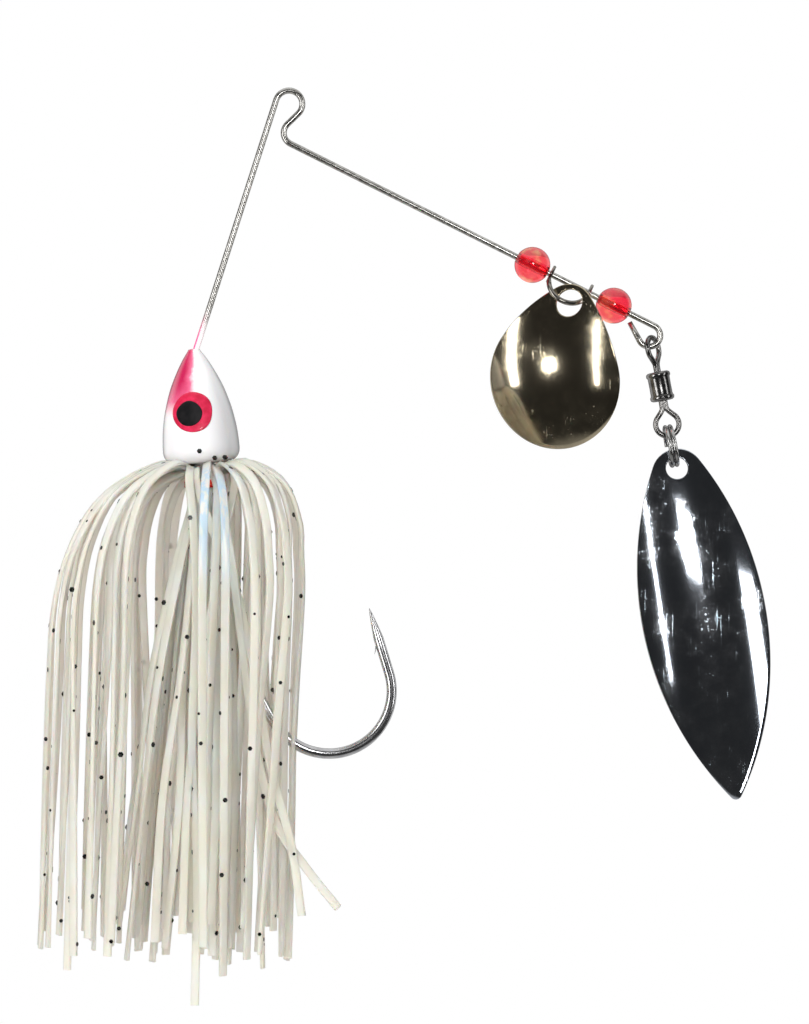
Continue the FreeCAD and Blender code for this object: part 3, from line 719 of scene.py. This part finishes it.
def strand_lines(routes):
    """One mesh of poly-lines with each strand's flat side and tone stored on its points."""
    mesh = bpy.data.meshes.new("strand_lines")
    points, edges, tones, normals = [], [], [], []
    for points_of_one, outwards, one_tone in routes:
        start = len(points)
        points += points_of_one
        edges += [(start + k, start + k + 1) for k in range(len(points_of_one) - 1)]
        tones += [one_tone] * len(points_of_one)
        for index, point in enumerate(points_of_one):
            ahead = points_of_one[min(index + 1, len(points_of_one) - 1)]
            along = ahead - points_of_one[max(index - 1, 0)]
            sideways = Vector((-outwards.y, outwards.x, 0))
            turn = 0.5 * math.sin(index * 0.11 + one_tone * 9)
            across = along.normalized().cross(sideways)
            normals.append(across * math.cos(turn) + sideways * math.sin(turn))
    mesh.from_pydata(points, edges, [])
    mesh.attributes.new("tone", "FLOAT", "POINT").data.foreach_set("value", tones)
    flat_list = [value for normal in normals for value in normal]
    mesh.attributes.new("flat_side", "FLOAT_VECTOR", "POINT").data.foreach_set("vector", flat_list)
    return mesh


def skirt_tree():
    """Geometry Nodes: a flat strand on every line, and black hexagons scattered on the strands."""
    tree = bpy.data.node_groups.new("skirt_strands", "GeometryNodeTree")
    tree.interface.new_socket("Geometry", in_out="INPUT", socket_type="NodeSocketGeometry")
    for name, kind, default in (
        ("Width", "NodeSocketFloat", STRAND_WIDTH),
        ("Thickness", "NodeSocketFloat", STRAND_THICK),
        ("Flake Radius", "NodeSocketFloat", FLAKE_RADIUS),
        ("Flakes per Area", "NodeSocketFloat", 19000.0),
        ("Seed", "NodeSocketInt", 5),
        ("Strand", "NodeSocketMaterial", None),
        ("Flake", "NodeSocketMaterial", None),
    ):
        socket = tree.interface.new_socket(name, in_out="INPUT", socket_type=kind)
        if default is not None:
            socket.default_value = default
    tree.interface.new_socket("Geometry", in_out="OUTPUT", socket_type="NodeSocketGeometry")

    def add(kind, inputs=None, **settings):
        made = tree.nodes.new(kind)
        for name, value in settings.items():
            setattr(made, name, value)
        for name, value in (inputs or {}).items():
            if isinstance(value, bpy.types.NodeSocket):
                tree.links.new(value, made.inputs[name])
            else:
                made.inputs[name].default_value = value
        return made

    given = add("NodeGroupInput").outputs
    lines = add("GeometryNodeMeshToCurve", {"Mesh": given["Geometry"]})
    side = add("GeometryNodeInputNamedAttribute", {"Name": "flat_side"}, data_type="FLOAT_VECTOR")
    facing = add(
        "GeometryNodeSetCurveNormal",
        {"Curve": lines.outputs["Curve"], "Normal": side.outputs["Attribute"]}, mode="FREE",
    )
    section = add(
        "GeometryNodeCurvePrimitiveQuadrilateral",
        {"Width": given["Thickness"], "Height": given["Width"]}, mode="RECTANGLE",
    )
    rounded = add(
        "GeometryNodeFilletCurve",
        {"Curve": section.outputs["Curve"], "Radius": 0.2 * MM, "Count": 2}, mode="POLY",
    )
    strands = add(
        "GeometryNodeCurveToMesh",
        {"Curve": facing.outputs["Curve"], "Profile Curve": rounded.outputs["Curve"], "Fill Caps": True},
    )
    smooth = add("GeometryNodeSetShadeSmooth", {"Geometry": strands.outputs["Mesh"]})
    dressed = add(
        "GeometryNodeSetMaterial", {"Geometry": smooth.outputs["Geometry"], "Material": given["Strand"]}
    )
    scatter = add(
        "GeometryNodeDistributePointsOnFaces",
        {"Mesh": smooth.outputs["Geometry"], "Density": given["Flakes per Area"], "Seed": given["Seed"]},
    )
    plate = add(
        "GeometryNodeMeshCircle", {"Vertices": 6, "Radius": given["Flake Radius"]}, fill_type="NGON"
    )
    thick = add(
        "GeometryNodeExtrudeMesh", {"Mesh": plate.outputs["Mesh"], "Offset Scale": 0.06 * MM},
        mode="FACES",
    )
    size = add(
        "FunctionNodeRandomValue", {"Min": 0.55, "Max": 1.15, "Seed": given["Seed"]}, data_type="FLOAT"
    )
    size_out = next(o for o in size.outputs if o.enabled and o.type == "VALUE")
    flakes = add(
        "GeometryNodeInstanceOnPoints",
        {
            "Points": scatter.outputs["Points"], "Instance": thick.outputs["Mesh"],
            "Rotation": scatter.outputs["Rotation"], "Scale": size_out,
        },
    )
    real = add("GeometryNodeRealizeInstances", {"Geometry": flakes.outputs["Instances"]})
    black = add(
        "GeometryNodeSetMaterial", {"Geometry": real.outputs["Geometry"], "Material": given["Flake"]}
    )
    both = add("GeometryNodeJoinGeometry")
    tree.links.new(black.outputs["Geometry"], both.inputs[0])
    tree.links.new(dressed.outputs["Geometry"], both.inputs[0])
    add("NodeGroupOutput", {"Geometry": both.outputs["Geometry"]})
    return tree


strand_tree = skirt_tree()


def grow(name, routes, seed, **sizes):
    """Run the skirt's tree on a set of routes and keep the result as a plain mesh."""
    carrier = bpy.data.objects.new(f"{name}_carrier", strand_lines(routes))
    bpy.context.scene.collection.objects.link(carrier)
    modifier = carrier.modifiers.new("strands", "NODES")
    modifier.node_group = strand_tree
    given = {"Seed": seed, "Strand": silicone.material, "Flake": glitter.material, **sizes}
    for item in strand_tree.interface.items_tree:
        if item.in_out == "INPUT" and item.name in given:
            modifier[item.identifier] = given[item.name]
    view = bpy.context.evaluated_depsgraph_get()
    mesh = bpy.data.meshes.new_from_object(carrier.evaluated_get(view), depsgraph=view)
    carrier.modifiers.clear()
    bpy.data.objects.remove(carrier)
    mesh.name = name
    return mesh


skirt_draw = random.Random(20)
groups = {"right": [], "back": [], "left": [], "front": []}


def quarter(around):
    """Which CAD group a strand at this angle belongs to."""
    turn = math.degrees(around) % 360
    if turn < 50 or turn >= 310:
        return "right"
    if turn < 130:
        return "back"
    if turn < 230:
        return "left"
    return "front"


for index in range(FRONT_COUNT):
    around = 2 * math.pi * (index + skirt_draw.uniform(-0.85, 0.85)) / FRONT_COUNT
    layer = 1.0 if index % 2 else skirt_draw.uniform(0.45, 0.95)
    if abs(math.degrees(around) % 360 - FRONT_GAP[0]) < FRONT_GAP[1]:
        continue
    route, outwards = front_half(around, skirt_draw, layer)
    groups[quarter(around)].append((route, outwards, skirt_draw.random()))
for index in range(REAR_COUNT):
    around = 2 * math.pi * (index + 0.5 + skirt_draw.uniform(-0.3, 0.3)) / REAR_COUNT
    if abs((math.degrees(around) + 180) % 360 - 180) < REAR_GAP:
        continue
    route, outwards = rear_half(around, skirt_draw, skirt_draw.uniform(1.5, 9.0) * MM)
    groups[quarter(around)].append((route, outwards, skirt_draw.random()))


def by_hand(*corners):
    """A strand whose corners are given in the X-Z view, with how near the viewer it lies."""
    return smooth_path([Vector((x * MM, y * MM, z * MM)) for x, y, z in corners], 54)


TOWARDS_VIEWER = Vector((0, -1, 0))
groups["front"] += [
    (by_hand((-13.6, -2.6, -64.2), (-13.4, -3.4, -61.0), (-12.9, -4.6, -59.3), (-11.9, -5.4, -61.2),
             (-10.6, -6.0, -66.5), (-9.2, -6.6, -74.0), (-7.6, -7.2, -86.0), (-5.2, -8.0, -104.0),
             (-1.9, -8.4, -117.0), (3.0, -8.0, -124.6), (8.2, -7.4, -131.2)), TOWARDS_VIEWER, 0.2),
    (by_hand((-15.1, -2.5, -64.2), (-15.0, -3.4, -61.0), (-14.9, -4.5, -59.6), (-14.8, -5.2, -62.4),
             (-12.6, -5.8, -69.0), (-8.6, -6.6, -79.0), (-5.5, -7.6, -92.0), (-2.6, -8.6, -108.5),
             (0.6, -8.8, -120.4), (2.4, -8.4, -132.4)), TOWARDS_VIEWER, 0.5),
    (by_hand((-15.6, -2.4, -64.2), (-15.7, -3.2, -61.2), (-15.9, -4.6, -59.9), (-16.0, -5.6, -62.0),
             (-15.3, -6.2, -70.0), (-14.8, -7.0, -84.0), (-15.4, -7.6, -104.0), (-14.6, -7.8, -126.0),
             (-15.0, -7.4, -147.0)), TOWARDS_VIEWER, 0.7),
    (by_hand((-9.9, -1.6, -64.2), (-9.6, -2.3, -61.2), (-9.0, -3.6, -59.8), (-8.7, -4.6, -63.0),
             (-10.4, -5.6, -72.0), (-13.0, -6.8, -90.0), (-11.6, -7.4, -112.0), (-12.2, -7.2, -139.0)),
     TOWARDS_VIEWER, 0.35),
]
for number, (label, routes) in enumerate(groups.items()):
    put(grow(f"strands_{label}", routes, 30 + number), f"strands_{label}", "root",
        f"skirt_{label}")

for number, (x, z) in enumerate(((-14.3, -57.2), (-11.9, -58.3), (-10.3, -58.2))):
    rings = []
    for share, lift in ((0.5, -0.08), (1.0, -0.08), (1.0, 0.05), (0.5, 0.05)):
        rings.append([
            on_head(
                x * MM + FLAKE_RADIUS * share * math.cos(math.pi * k / 3 + number),
                z * MM + FLAKE_RADIUS * share * math.sin(math.pi * k / 3 + number), -1, lift * MM,
            )
            for k in range(6)
        ])
    put(loop_mesh(f"stuck_flake_{number}", rings, caps=True, material=glitter),
        f"stuck_flake_{number}", "root")

# ---------------------------------------------------------------------------------------------
# The beads. Two 6 mm faceless beads of clear red acrylic, drilled through, loose on the wire.

BEAD_RADIUS = 2.95 * MM
BEAD_HOLE = 0.68 * MM

acrylic = Finish(
    "clear_red_acrylic", IOR=1.49, Transmission_Weight=0.92, Coat_Weight=0.3, Coat_Roughness=0.03,
)
# Painted highlights: noise patches of cream-orange in the red colour stand in for the beads' highlights;
# the same noise varies the roughness.
swirl_and_painted_highlight = acrylic.noise(260.0, 3.0)
acrylic.set(
    Base_Color=acrylic.blend(swirl_and_painted_highlight.between(0.48, 0.66), (0.98, 0.035, 0.075), (1.0, 0.52, 0.26)),
    Roughness=swirl_and_painted_highlight * 0.08 + 0.03,
)


def bead(name, distance, body, node):
    """Turn a drilled ball about the wire, with the hole's edges eased."""
    centre = on_arm(distance)
    start = math.asin((BEAD_HOLE + 0.12 * MM) / BEAD_RADIUS)
    outline = []
    for step in range(49):
        angle = start + (math.pi - 2 * start) * step / 48
        outline.append((-BEAD_RADIUS * math.cos(angle), BEAD_RADIUS * math.sin(angle)))
    end = outline[-1][0]
    outline += [(end - 0.06 * MM, BEAD_HOLE + 0.02 * MM), (end - 0.25 * MM, BEAD_HOLE)]
    outline += [(0.0, BEAD_HOLE), (-end + 0.25 * MM, BEAD_HOLE)]
    outline.append((-end + 0.06 * MM, BEAD_HOLE + 0.02 * MM))
    sides = 64
    loops = []
    for along, radius in outline:
        loops.append(hoop(centre + arm_along * along, arm_up, DEPTH, radius, sides))
    mesh = loop_mesh(name, loops, closed_along=True, material=acrylic)
    put(mesh, name, body, node)


BEAD_RUN = 44.5 * MM
bead("red_bead_front", BEAD_RUN, "front_bead", "front_bead")
bead("red_bead_rear", BEAD_RUN + 14.96 * MM, "rear_bead", "rear_bead")

# ---------------------------------------------------------------------------------------------
# The clevis. A stirrup of 0.85 mm wire whose two ends are pressed flat and drilled, so that it
# spins on the blade arm. Its round bottom carries the first blade.

CLEVIS_RADIUS = 3.45 * MM
CLEVIS_SWING = math.radians(30)
CLEVIS_WIRE = 0.425 * MM
STIRRUP_START = math.radians(11)
clevis_turn = Matrix.Translation(arm_start) @ Matrix.Rotation(-CLEVIS_SWING, 4, arm_along) @ (
    Matrix.Translation(-arm_start))

clevis_metal = drawn_metal("dark_nickel_clevis", (0.20, 0.19, 0.17), (0.50, 0.47, 0.42), 0.12, 800.0)

first_ear = BEAD_RUN + 3.45 * MM
stirrup_centre = on_arm(first_ear + CLEVIS_RADIUS, -0.3 * MM)
stirrup_points = []
for step in range(37):
    angle = math.pi + STIRRUP_START + (math.pi - 2 * STIRRUP_START) * step / 36
    stirrup_points.append(clevis_turn @ (
        stirrup_centre + arm_along * (math.cos(angle) * CLEVIS_RADIUS)
        + arm_up * (math.sin(angle) * CLEVIS_RADIUS)
    ))


def ear_press(share):
    """The wire widens and thins as it runs into an ear."""
    near_ear = max(0.0, 1 - min(share, 1 - share) / 0.1)
    return 1 + 0.7 * near_ear, 1 - 0.3 * near_ear


put(tube("clevis_stirrup", stirrup_points, CLEVIS_WIRE, clevis_metal, flatten=ear_press),
    "clevis_stirrup", "clevis", "clevis")


def washer(name, centre, hole, rim, half, finish, body):
    """A flat drilled ear with rounded edges, square to the blade arm."""
    section = [
        (hole, -half * 0.7), (hole + 0.06 * MM, -half), (rim - 0.12 * MM, -half), (rim, -half * 0.4),
        (rim, half * 0.4), (rim - 0.12 * MM, half), (hole + 0.06 * MM, half), (hole, half * 0.7),
    ]
    sides = 40
    loops = []
    for radius, along in section:
        loops.append(hoop(centre + arm_along * along, arm_up, DEPTH, radius, sides))
    put(loop_mesh(name, loops, closed_along=True, material=finish), name, body)


for label, distance in (("first", first_ear), ("second", first_ear + 2 * CLEVIS_RADIUS)):
    washer(f"clevis_ear_{label}", on_arm(distance), 0.68 * MM, 1.55 * MM, 0.25 * MM, clevis_metal,
           "clevis")

# ---------------------------------------------------------------------------------------------
# The round blade. Brass sheet stamped to a broad drop shape, dished, drilled and gold plated; the
# plating is scuffed by handling and by the hooks in the box.

BLADE_THICK = 0.45 * MM


def blade_rim(rise, top, bottom, length, radius, count):
    """Even points round a blade's outline, whose side arcs touch the top and bottom circles."""
    gap = length - top - bottom
    above = ((radius - top) ** 2 - (radius - bottom) ** 2 + gap**2) / (2 * gap)
    offset = math.sqrt((radius - top) ** 2 - above**2)
    turn_top = math.atan2(above, offset)
    turn_low = math.atan2(gap - above, offset)
    upper = rise - top
    arcs = (
        (0, upper, top, turn_top, math.pi - turn_top),
        (offset, upper - above, radius, math.pi - turn_top, math.pi + turn_low),
        (0, upper - gap, bottom, math.pi + turn_low, 2 * math.pi - turn_low),
        (-offset, upper - above, radius, -turn_low, turn_top),
    )
    total = sum(arc[2] * (arc[4] - arc[3]) for arc in arcs)
    points = []
    for centre_x, centre_z, size, start, end in arcs:
        share = size * (end - start) / total
        steps = max(6, round(count * share))
        for step in range(steps):
            angle = start + (end - start) * step / steps
            points.append((centre_x + size * math.cos(angle), centre_z + size * math.sin(angle)))
    return points


def dished_blade(name, rim, hole, depth, place, finish):
    """Skin a sheet blade from its hole to its rim and back, following a dish."""
    rings = 44

    def surface(x, z, side):
        step = 1e-5
        slope_x = (depth(x + step, z) - depth(x - step, z)) / (2 * step)
        slope_z = (depth(x, z + step) - depth(x, z - step)) / (2 * step)
        normal = Vector((slope_x, -1, slope_z)).normalized()
        return Vector((x, depth(x, z), z)) + normal * (BLADE_THICK / 2 * side)

    loops = []
    shares = [0.0] + [(k / rings) ** 1.3 for k in range(1, rings)] + [1.0]
    inset = 0.12 * MM
    for x, z in rim:
        distance = math.hypot(x, z)
        across = (x / distance, z / distance)
        section = []
        for share in shares:
            reach = hole + inset + (distance - hole - 2 * inset) * share
            section.append(surface(across[0] * reach, across[1] * reach, 1))
        for side in (0.72, 0.0, -0.72):
            section.append(surface(across[0] * distance, across[1] * distance, side))
        for share in reversed(shares):
            reach = hole + inset + (distance - hole - 2 * inset) * share
            section.append(surface(across[0] * reach, across[1] * reach, -1))
        for side in (-0.72, 0.0, 0.72):
            section.append(surface(across[0] * hole, across[1] * hole, side))
        loops.append([place @ point for point in section])
    return loop_mesh(name, loops, closed_along=True, material=finish)


def plated(name, deep, bright, haze, roughness):
    """Bright plating with hairline scratches, scuffed patches and tiny pits."""
    metal = Finish(name, Metallic=1.0, Roughness=roughness)
    patch = metal.noise(140.0, 4.0, 0.65)
    fine = metal.noise(2400.0, 2.0, 0.7)
    fields = []
    for turn, seed in ((0.5, 0.0), (-0.9, 3.0), (1.4, 7.0)):
        turned = metal.node(
            "ShaderNodeMapping", None,
            {"Vector": metal.place, "Rotation": (0, turn, 0), "Location": (seed, 0, seed),
             "Scale": (2600, 300, 120)},
        )
        field = metal.noise(1.0, 2.0, 0.5, turned)
        fields.append(field.between(0.66, 0.74))
    scratches = fields[0].math("MAXIMUM", fields[0], fields[1])
    scratches = scratches.math("MAXIMUM", scratches, fields[2])
    scuffed = patch.between(0.47, 0.68)
    marks = scratches * scuffed
    specks = fine.between(0.62, 0.74) * scuffed
    colour = metal.blend(patch.between(0.35, 0.7), deep, bright)
    colour = metal.blend((marks + specks) * 0.6, colour, haze)
    metal.set(
        Base_Color=colour,
        Roughness=marks * 0.35 + specks * 0.35 + scuffed * fine * 0.1 + roughness,
        Normal=metal.bump(marks * 0.6 + specks * 0.5 + fine * scuffed * 0.25, 0.3, 0.00004),
    )
    return metal


gold_plate = plated("worn_gold_plate", (0.44, 0.38, 0.27), (0.66, 0.57, 0.40), (0.92, 0.85, 0.70), 0.10)

ROUND_DISH = 34 * MM
ROUND_RISE = 3.0 * MM
ROUND_LENGTH = 27.4 * MM
ROUND_HOLE = 2.2 * MM
ROUND_LEAN = math.radians(6)
ROUND_TURN = math.radians(24)
ROUND_TILT = math.radians(11.7)
round_axis = ROUND_RISE - ROUND_LENGTH / 2
round_back = math.sqrt(ROUND_DISH**2 - round_axis**2)


def round_depth(x, z):
    return round_back - math.sqrt(max(1e-9, ROUND_DISH**2 - x * x - (z - round_axis) ** 2))


round_place = (
    Matrix.Translation((46.0 * MM, -1.9 * MM, -32.85 * MM))
    @ Matrix.Rotation(ROUND_LEAN, 4, "X")
    @ Matrix.Rotation(-ROUND_TURN, 4, "Z")
    @ Matrix.Rotation(ROUND_TILT, 4, "Y")
)
round_rim = blade_rim(ROUND_RISE, 4.4 * MM, 11.46 * MM, ROUND_LENGTH, 30 * MM, 150)
put(dished_blade("gold_round_blade", round_rim, ROUND_HOLE, round_depth, round_place, gold_plate),
    "gold_round_blade", "colorado_blade", "colorado_blade")

# ---------------------------------------------------------------------------------------------
# The swivel. A turned barrel of black-nickel brass with two wire eyes. Each eye's wire is formed
# round, closed on itself and headed inside the barrel, so that both can spin.

SWIVEL_TILT = math.radians(10.6)
SWIVEL_EYE_RADIUS = 1.92 * MM
SWIVEL_WIRE = 0.44 * MM
SWIVEL_EYE_GAPE = math.radians(128)
BARREL_DROP = (3.85 + 2.4) * MM
swivel_down = heading_vector(SWIVEL_TILT - math.pi / 2)
swivel_side = heading_vector(SWIVEL_TILT)
swivel_top = flat(59.9 * MM, -40.3 * MM)

swivel_metal = drawn_metal("black_nickel_swivel", (0.10, 0.10, 0.098), (0.34, 0.33, 0.32), 0.12, 900.0)


def swivel_eye(name, centre_drop, towards, reach, turn):
    """A wire eye that narrows to a double stem and runs into the barrel."""
    centre = swivel_top + swivel_down * (centre_drop * MM)
    aim = swivel_down * towards
    wide = swivel_side * math.cos(turn) + DEPTH * math.sin(turn)
    points = []
    for step in range(41):
        angle = -SWIVEL_EYE_GAPE + 2 * SWIVEL_EYE_GAPE * step / 40
        points.append(
            centre - aim * (math.cos(angle) * SWIVEL_EYE_RADIUS)
            + wide * (math.sin(angle) * SWIVEL_EYE_RADIUS)
        )
    legs = []
    for side in (-1, 1):
        legs.append([
            centre + aim * (drop * MM) + wide * (side * out * MM)
            for drop, out in ((1.75, 0.98), (2.25, 0.56), (2.8, 0.33), (reach, 0.30))
        ])
    points = list(reversed(legs[0])) + points + legs[1]
    return tube(name, smooth_path(points, 90), SWIVEL_WIRE, swivel_metal, sides=14)


put(swivel_eye("swivel_eye_upper", 0.0, 1, 5.0, math.radians(58)),
    "swivel_eye_upper", "swivel_upper_eye", "swivel_upper_eye")
put(swivel_eye("swivel_eye_lower", 12.6, -1, 4.9, 0.0),
    "swivel_eye_lower", "swivel_lower_eye", "swivel_lower_eye")

barrel_middle = swivel_top + swivel_down * BARREL_DROP
barrel_outline = [
    (0.78, 2.35), (1.2, 2.42), (1.62, 2.38), (1.92, 2.2), (2.0, 1.95), (2.0, 1.7), (1.86, 1.52),
    (1.82, 1.3), (1.8, 0.0), (1.82, -1.3), (1.86, -1.52), (2.0, -1.7), (2.0, -1.95), (1.92, -2.2),
    (1.62, -2.38),
    (1.2, -2.42), (0.78, -2.35), (0.76, -1.95), (1.45, -1.85), (1.5, 0.0), (1.45, 1.85), (0.76, 1.95),
]
barrel_loops = [
    hoop(barrel_middle - swivel_down * (height * MM), swivel_side, DEPTH, radius * MM, 48)
    for radius, height in barrel_outline
]
put(loop_mesh("swivel_body", barrel_loops, closed_along=True, material=swivel_metal),
    "swivel_body", "swivel_barrel", "swivel_barrel")

# ---------------------------------------------------------------------------------------------
# The split ring. Two turns of flat-ended spring steel that are pried apart to thread on.

ring_metal = drawn_metal("split_ring_steel", (0.24, 0.235, 0.23), (0.55, 0.55, 0.54), 0.14, 900.0)
ring_centre = flat(62.83 * MM, -56.25 * MM)
RING_RADIUS = 3.2 * MM
RING_WIRE = 0.37 * MM
RING_PITCH = 0.78 * MM
RING_JOG = 30
ring_points = []
for degrees in range(0, 721 - RING_JOG, 5):
    jog = min(1.0, max(0.0, (degrees - (360 - RING_JOG)) / RING_JOG))
    slide = (jog * jog * (3 - 2 * jog) - 0.5) * RING_PITCH
    angle = math.radians(degrees)
    ring_points.append(
        ring_centre + swivel_side * slide
        - swivel_down * (RING_RADIUS * math.sin(angle))
        + DEPTH * (RING_RADIUS * math.cos(angle))
    )
put(tube("split_ring_coil", ring_points, RING_WIRE, ring_metal, sides=14),
    "split_ring_coil", "split_ring", "split_ring")

# ---------------------------------------------------------------------------------------------
# The long blade. The same sheet stamped to a willow leaf, dished across and along, and plated
# with bright nickel; its middle is scuffed and shows a blue cast.

nickel_plate = plated(
    "bright_nickel_plate", (0.46, 0.50, 0.56), (0.66, 0.69, 0.74), (0.55, 0.84, 1.0), 0.07
)

LONG_CROSS = 24 * MM
LONG_DISH = 160 * MM
LONG_RISE = 3.2 * MM
LONG_LENGTH = 58.6 * MM
LONG_HOLE = 1.8 * MM
LONG_TILT = math.radians(10.3)
long_axis = LONG_RISE - LONG_LENGTH / 2
long_back = math.sqrt(LONG_DISH**2 - long_axis**2)


def long_depth(x, z):
    """Depth of a ring-shaped surface: bent tightly across and gently along."""
    spine = LONG_DISH - LONG_CROSS + math.sqrt(max(1e-9, LONG_CROSS**2 - x * x))
    return long_back - math.sqrt(max(1e-9, spine * spine - (z - long_axis) ** 2))


long_place = (
    Matrix.Translation((63.8 * MM, 0, -59.9 * MM)) @ Matrix.Rotation(-LONG_TILT, 4, "Y")
)
long_rim = blade_rim(LONG_RISE, 4.3 * MM, 1.0 * MM, LONG_LENGTH, 53.9 * MM, 190)
put(dished_blade("nickel_long_blade", long_rim, LONG_HOLE, long_depth, long_place, nickel_plate),
    "nickel_long_blade", "willow_blade", "willow_blade")

# ---------------------------------------------------------------------------------------------
# The studio: an even white surround, dark only where plating mirrors the room, two strip boxes
# at the sides, a small lamp near the camera and a pale floor below the hanging lure.

middle = Vector((19.0 * MM, 0, -67.1 * MM))
CAMERA_DISTANCE = 0.5
FRAME_HEIGHT = 168.4 * MM
SENSOR = 36.0

camera_data = bpy.data.cameras.new("camera")
camera_data.sensor_fit = "AUTO"
camera_data.sensor_width = SENSOR
camera_data.lens = SENSOR * CAMERA_DISTANCE / FRAME_HEIGHT
camera_data.clip_start = 0.01
camera = bpy.data.objects.new("camera", camera_data)
camera.location = middle + Vector((0, -CAMERA_DISTANCE, 0))
camera.rotation_euler = (math.pi / 2, 0, 0)
bpy.context.scene.collection.objects.link(camera)
bpy.context.scene.camera = camera

world = bpy.data.worlds.new("studio")
bpy.context.scene.world = world
world.use_nodes = True
bpy.context.scene.view_settings.view_transform = "Standard"
sky = world.node_tree
surround = sky.nodes["Background"]
rays = sky.nodes.new("ShaderNodeLightPath")
ray_place = sky.nodes.new("ShaderNodeTexCoord")
ray = sky.nodes.new("ShaderNodeSeparateXYZ")
sky.links.new(ray_place.outputs["Generated"], ray.inputs[0])


def ramp_of(socket, stops):
    """Grey that follows one direction of the ray, from -1 to 1, through the given stops."""
    spread = sky.nodes.new("ShaderNodeMapRange")
    spread.inputs["From Min"].default_value = -1
    sky.links.new(socket, spread.inputs["Value"])
    ramp = sky.nodes.new("ShaderNodeValToRGB")
    set_stops(ramp, [(position, (grey, grey, grey)) for position, grey in stops])
    sky.links.new(spread.outputs[0], ramp.inputs[0])
    return ramp.outputs[0]


def sky_mix(factor, first, second, how="MIX"):
    mix = sky.nodes.new("ShaderNodeMix")
    mix.data_type = "RGBA"
    mix.blend_type = how
    for index, value in ((0, factor), (6, first), (7, second)):
        if isinstance(value, bpy.types.NodeSocket):
            sky.links.new(value, mix.inputs[index])
        else:
            mix.inputs[index].default_value = value if index == 0 else (value, value, value, 1)
    return mix.outputs[2]


sideways = ramp_of(
    ray.outputs["Y"], [(0, 0.03), (0.4, 0.035), (0.56, 0.05), (0.70, 0.8), (0.85, 0.8), (0.95, 0.2)]
)
upright = ramp_of(ray.outputs["Z"], [(0, 0.6), (0.1, 0.45), (0.15, 0), (0.82, 0), (0.88, 0.8), (1, 1)])
room = sky_mix(1.0, sideways, upright, "LIGHTEN")
seen = sky_mix(rays.outputs["Is Glossy Ray"], 0.6, room)
seen = sky_mix(rays.outputs["Is Transmission Ray"], seen, 1.0)
seen = sky_mix(rays.outputs["Is Camera Ray"], seen, 1.0)
sky.links.new(seen, surround.inputs["Color"])


def lamp(name, aim, azimuth, elevation, away, width, height, power, only=None, mirrored=True):
    """A rectangular lamp seen from aim at an azimuth from the camera's side, right positive."""
    data = bpy.data.lights.new(name, "AREA")
    data.shape = "RECTANGLE"
    data.size = width
    data.size_y = height
    data.energy = power
    holder = bpy.data.objects.new(name, data)
    turn, rise = math.radians(azimuth), math.radians(elevation)
    way = Vector((math.sin(turn) * math.cos(rise), -math.cos(turn) * math.cos(rise), math.sin(rise)))
    holder.location = aim + way * away
    holder.rotation_euler = way.to_track_quat("Z", "Y").to_euler()
    holder.visible_glossy = mirrored
    bpy.context.scene.collection.objects.link(holder)
    if only:
        lit = bpy.data.collections.new(f"{name}_lights")
        for piece in only:
            lit.objects.link(piece)
        holder.light_linking.receiver_collection = lit


round_piece = [bpy.data.objects["gold_round_blade"]]
long_piece = [bpy.data.objects["nickel_long_blade"]]
round_middle = round_place @ Vector((0, 0, round_axis))
long_middle = long_place @ Vector((0, 0, long_axis))
steel_names = (
    "bent_wire", "hook_wire", "hook_barb", "clevis_stirrup", "swivel_eye_upper", "swivel_eye_lower",
    "swivel_body", "split_ring_coil",
)
steel_pieces = [bpy.data.objects[name] for name in steel_names]
for row in (
    ("round_strip_left", round_middle, -72, 2, 0.5, 0.045, 0.30, 0.55, round_piece),
    ("round_strip_right", round_middle, -19, 0, 0.5, 0.018, 0.34, 0.25, round_piece),
    ("round_spot", round_middle, -47, -6, 0.5, 0.045, 0.045, 0.35, round_piece),
    ("long_strip_left", long_middle, -29, 0, 0.5, 0.012, 0.26, 0.24, long_piece),
    ("long_strip_right", long_middle, 44, -12, 0.5, 0.10, 0.40, 1.3, long_piece),
    ("long_spot", long_middle, -2, 9, 0.5, 0.035, 0.022, 0.20, long_piece),
    ("steel_left", middle, -50, 0, 0.6, 0.16, 0.6, 1.6, steel_pieces),
    ("steel_right", middle, 62, 10, 0.6, 0.10, 0.6, 1.1, steel_pieces),
    ("key", middle, -28, 34, 0.6, 0.35, 0.35, 3.0, None, False),
    ("front", middle, 6, 8, 0.6, 0.10, 0.10, 0.6),
):
    lamp(*row)

FLOOR_RADIUS = 1.1
FLOOR_Z = -0.36
floor_mesh = bpy.data.meshes.new("studio_floor")
floor_edge = [2 * math.pi * k / 96 for k in range(96)]
floor_mesh.from_pydata(
    [(FLOOR_RADIUS * math.cos(a), FLOOR_RADIUS * math.sin(a), FLOOR_Z) for a in floor_edge],
    [], [list(range(96))],
)
studio_floor = bpy.data.objects.new("studio_floor", floor_mesh)
studio_floor.visible_glossy = False
bpy.context.scene.collection.objects.link(studio_floor)
pale = Finish("pale_floor", Roughness=0.7)
pale.set(Base_Color=pale.blend(pale.noise(12.0), (0.86, 0.86, 0.85), (0.9, 0.9, 0.89)))
floor_mesh.materials.append(pale.material)
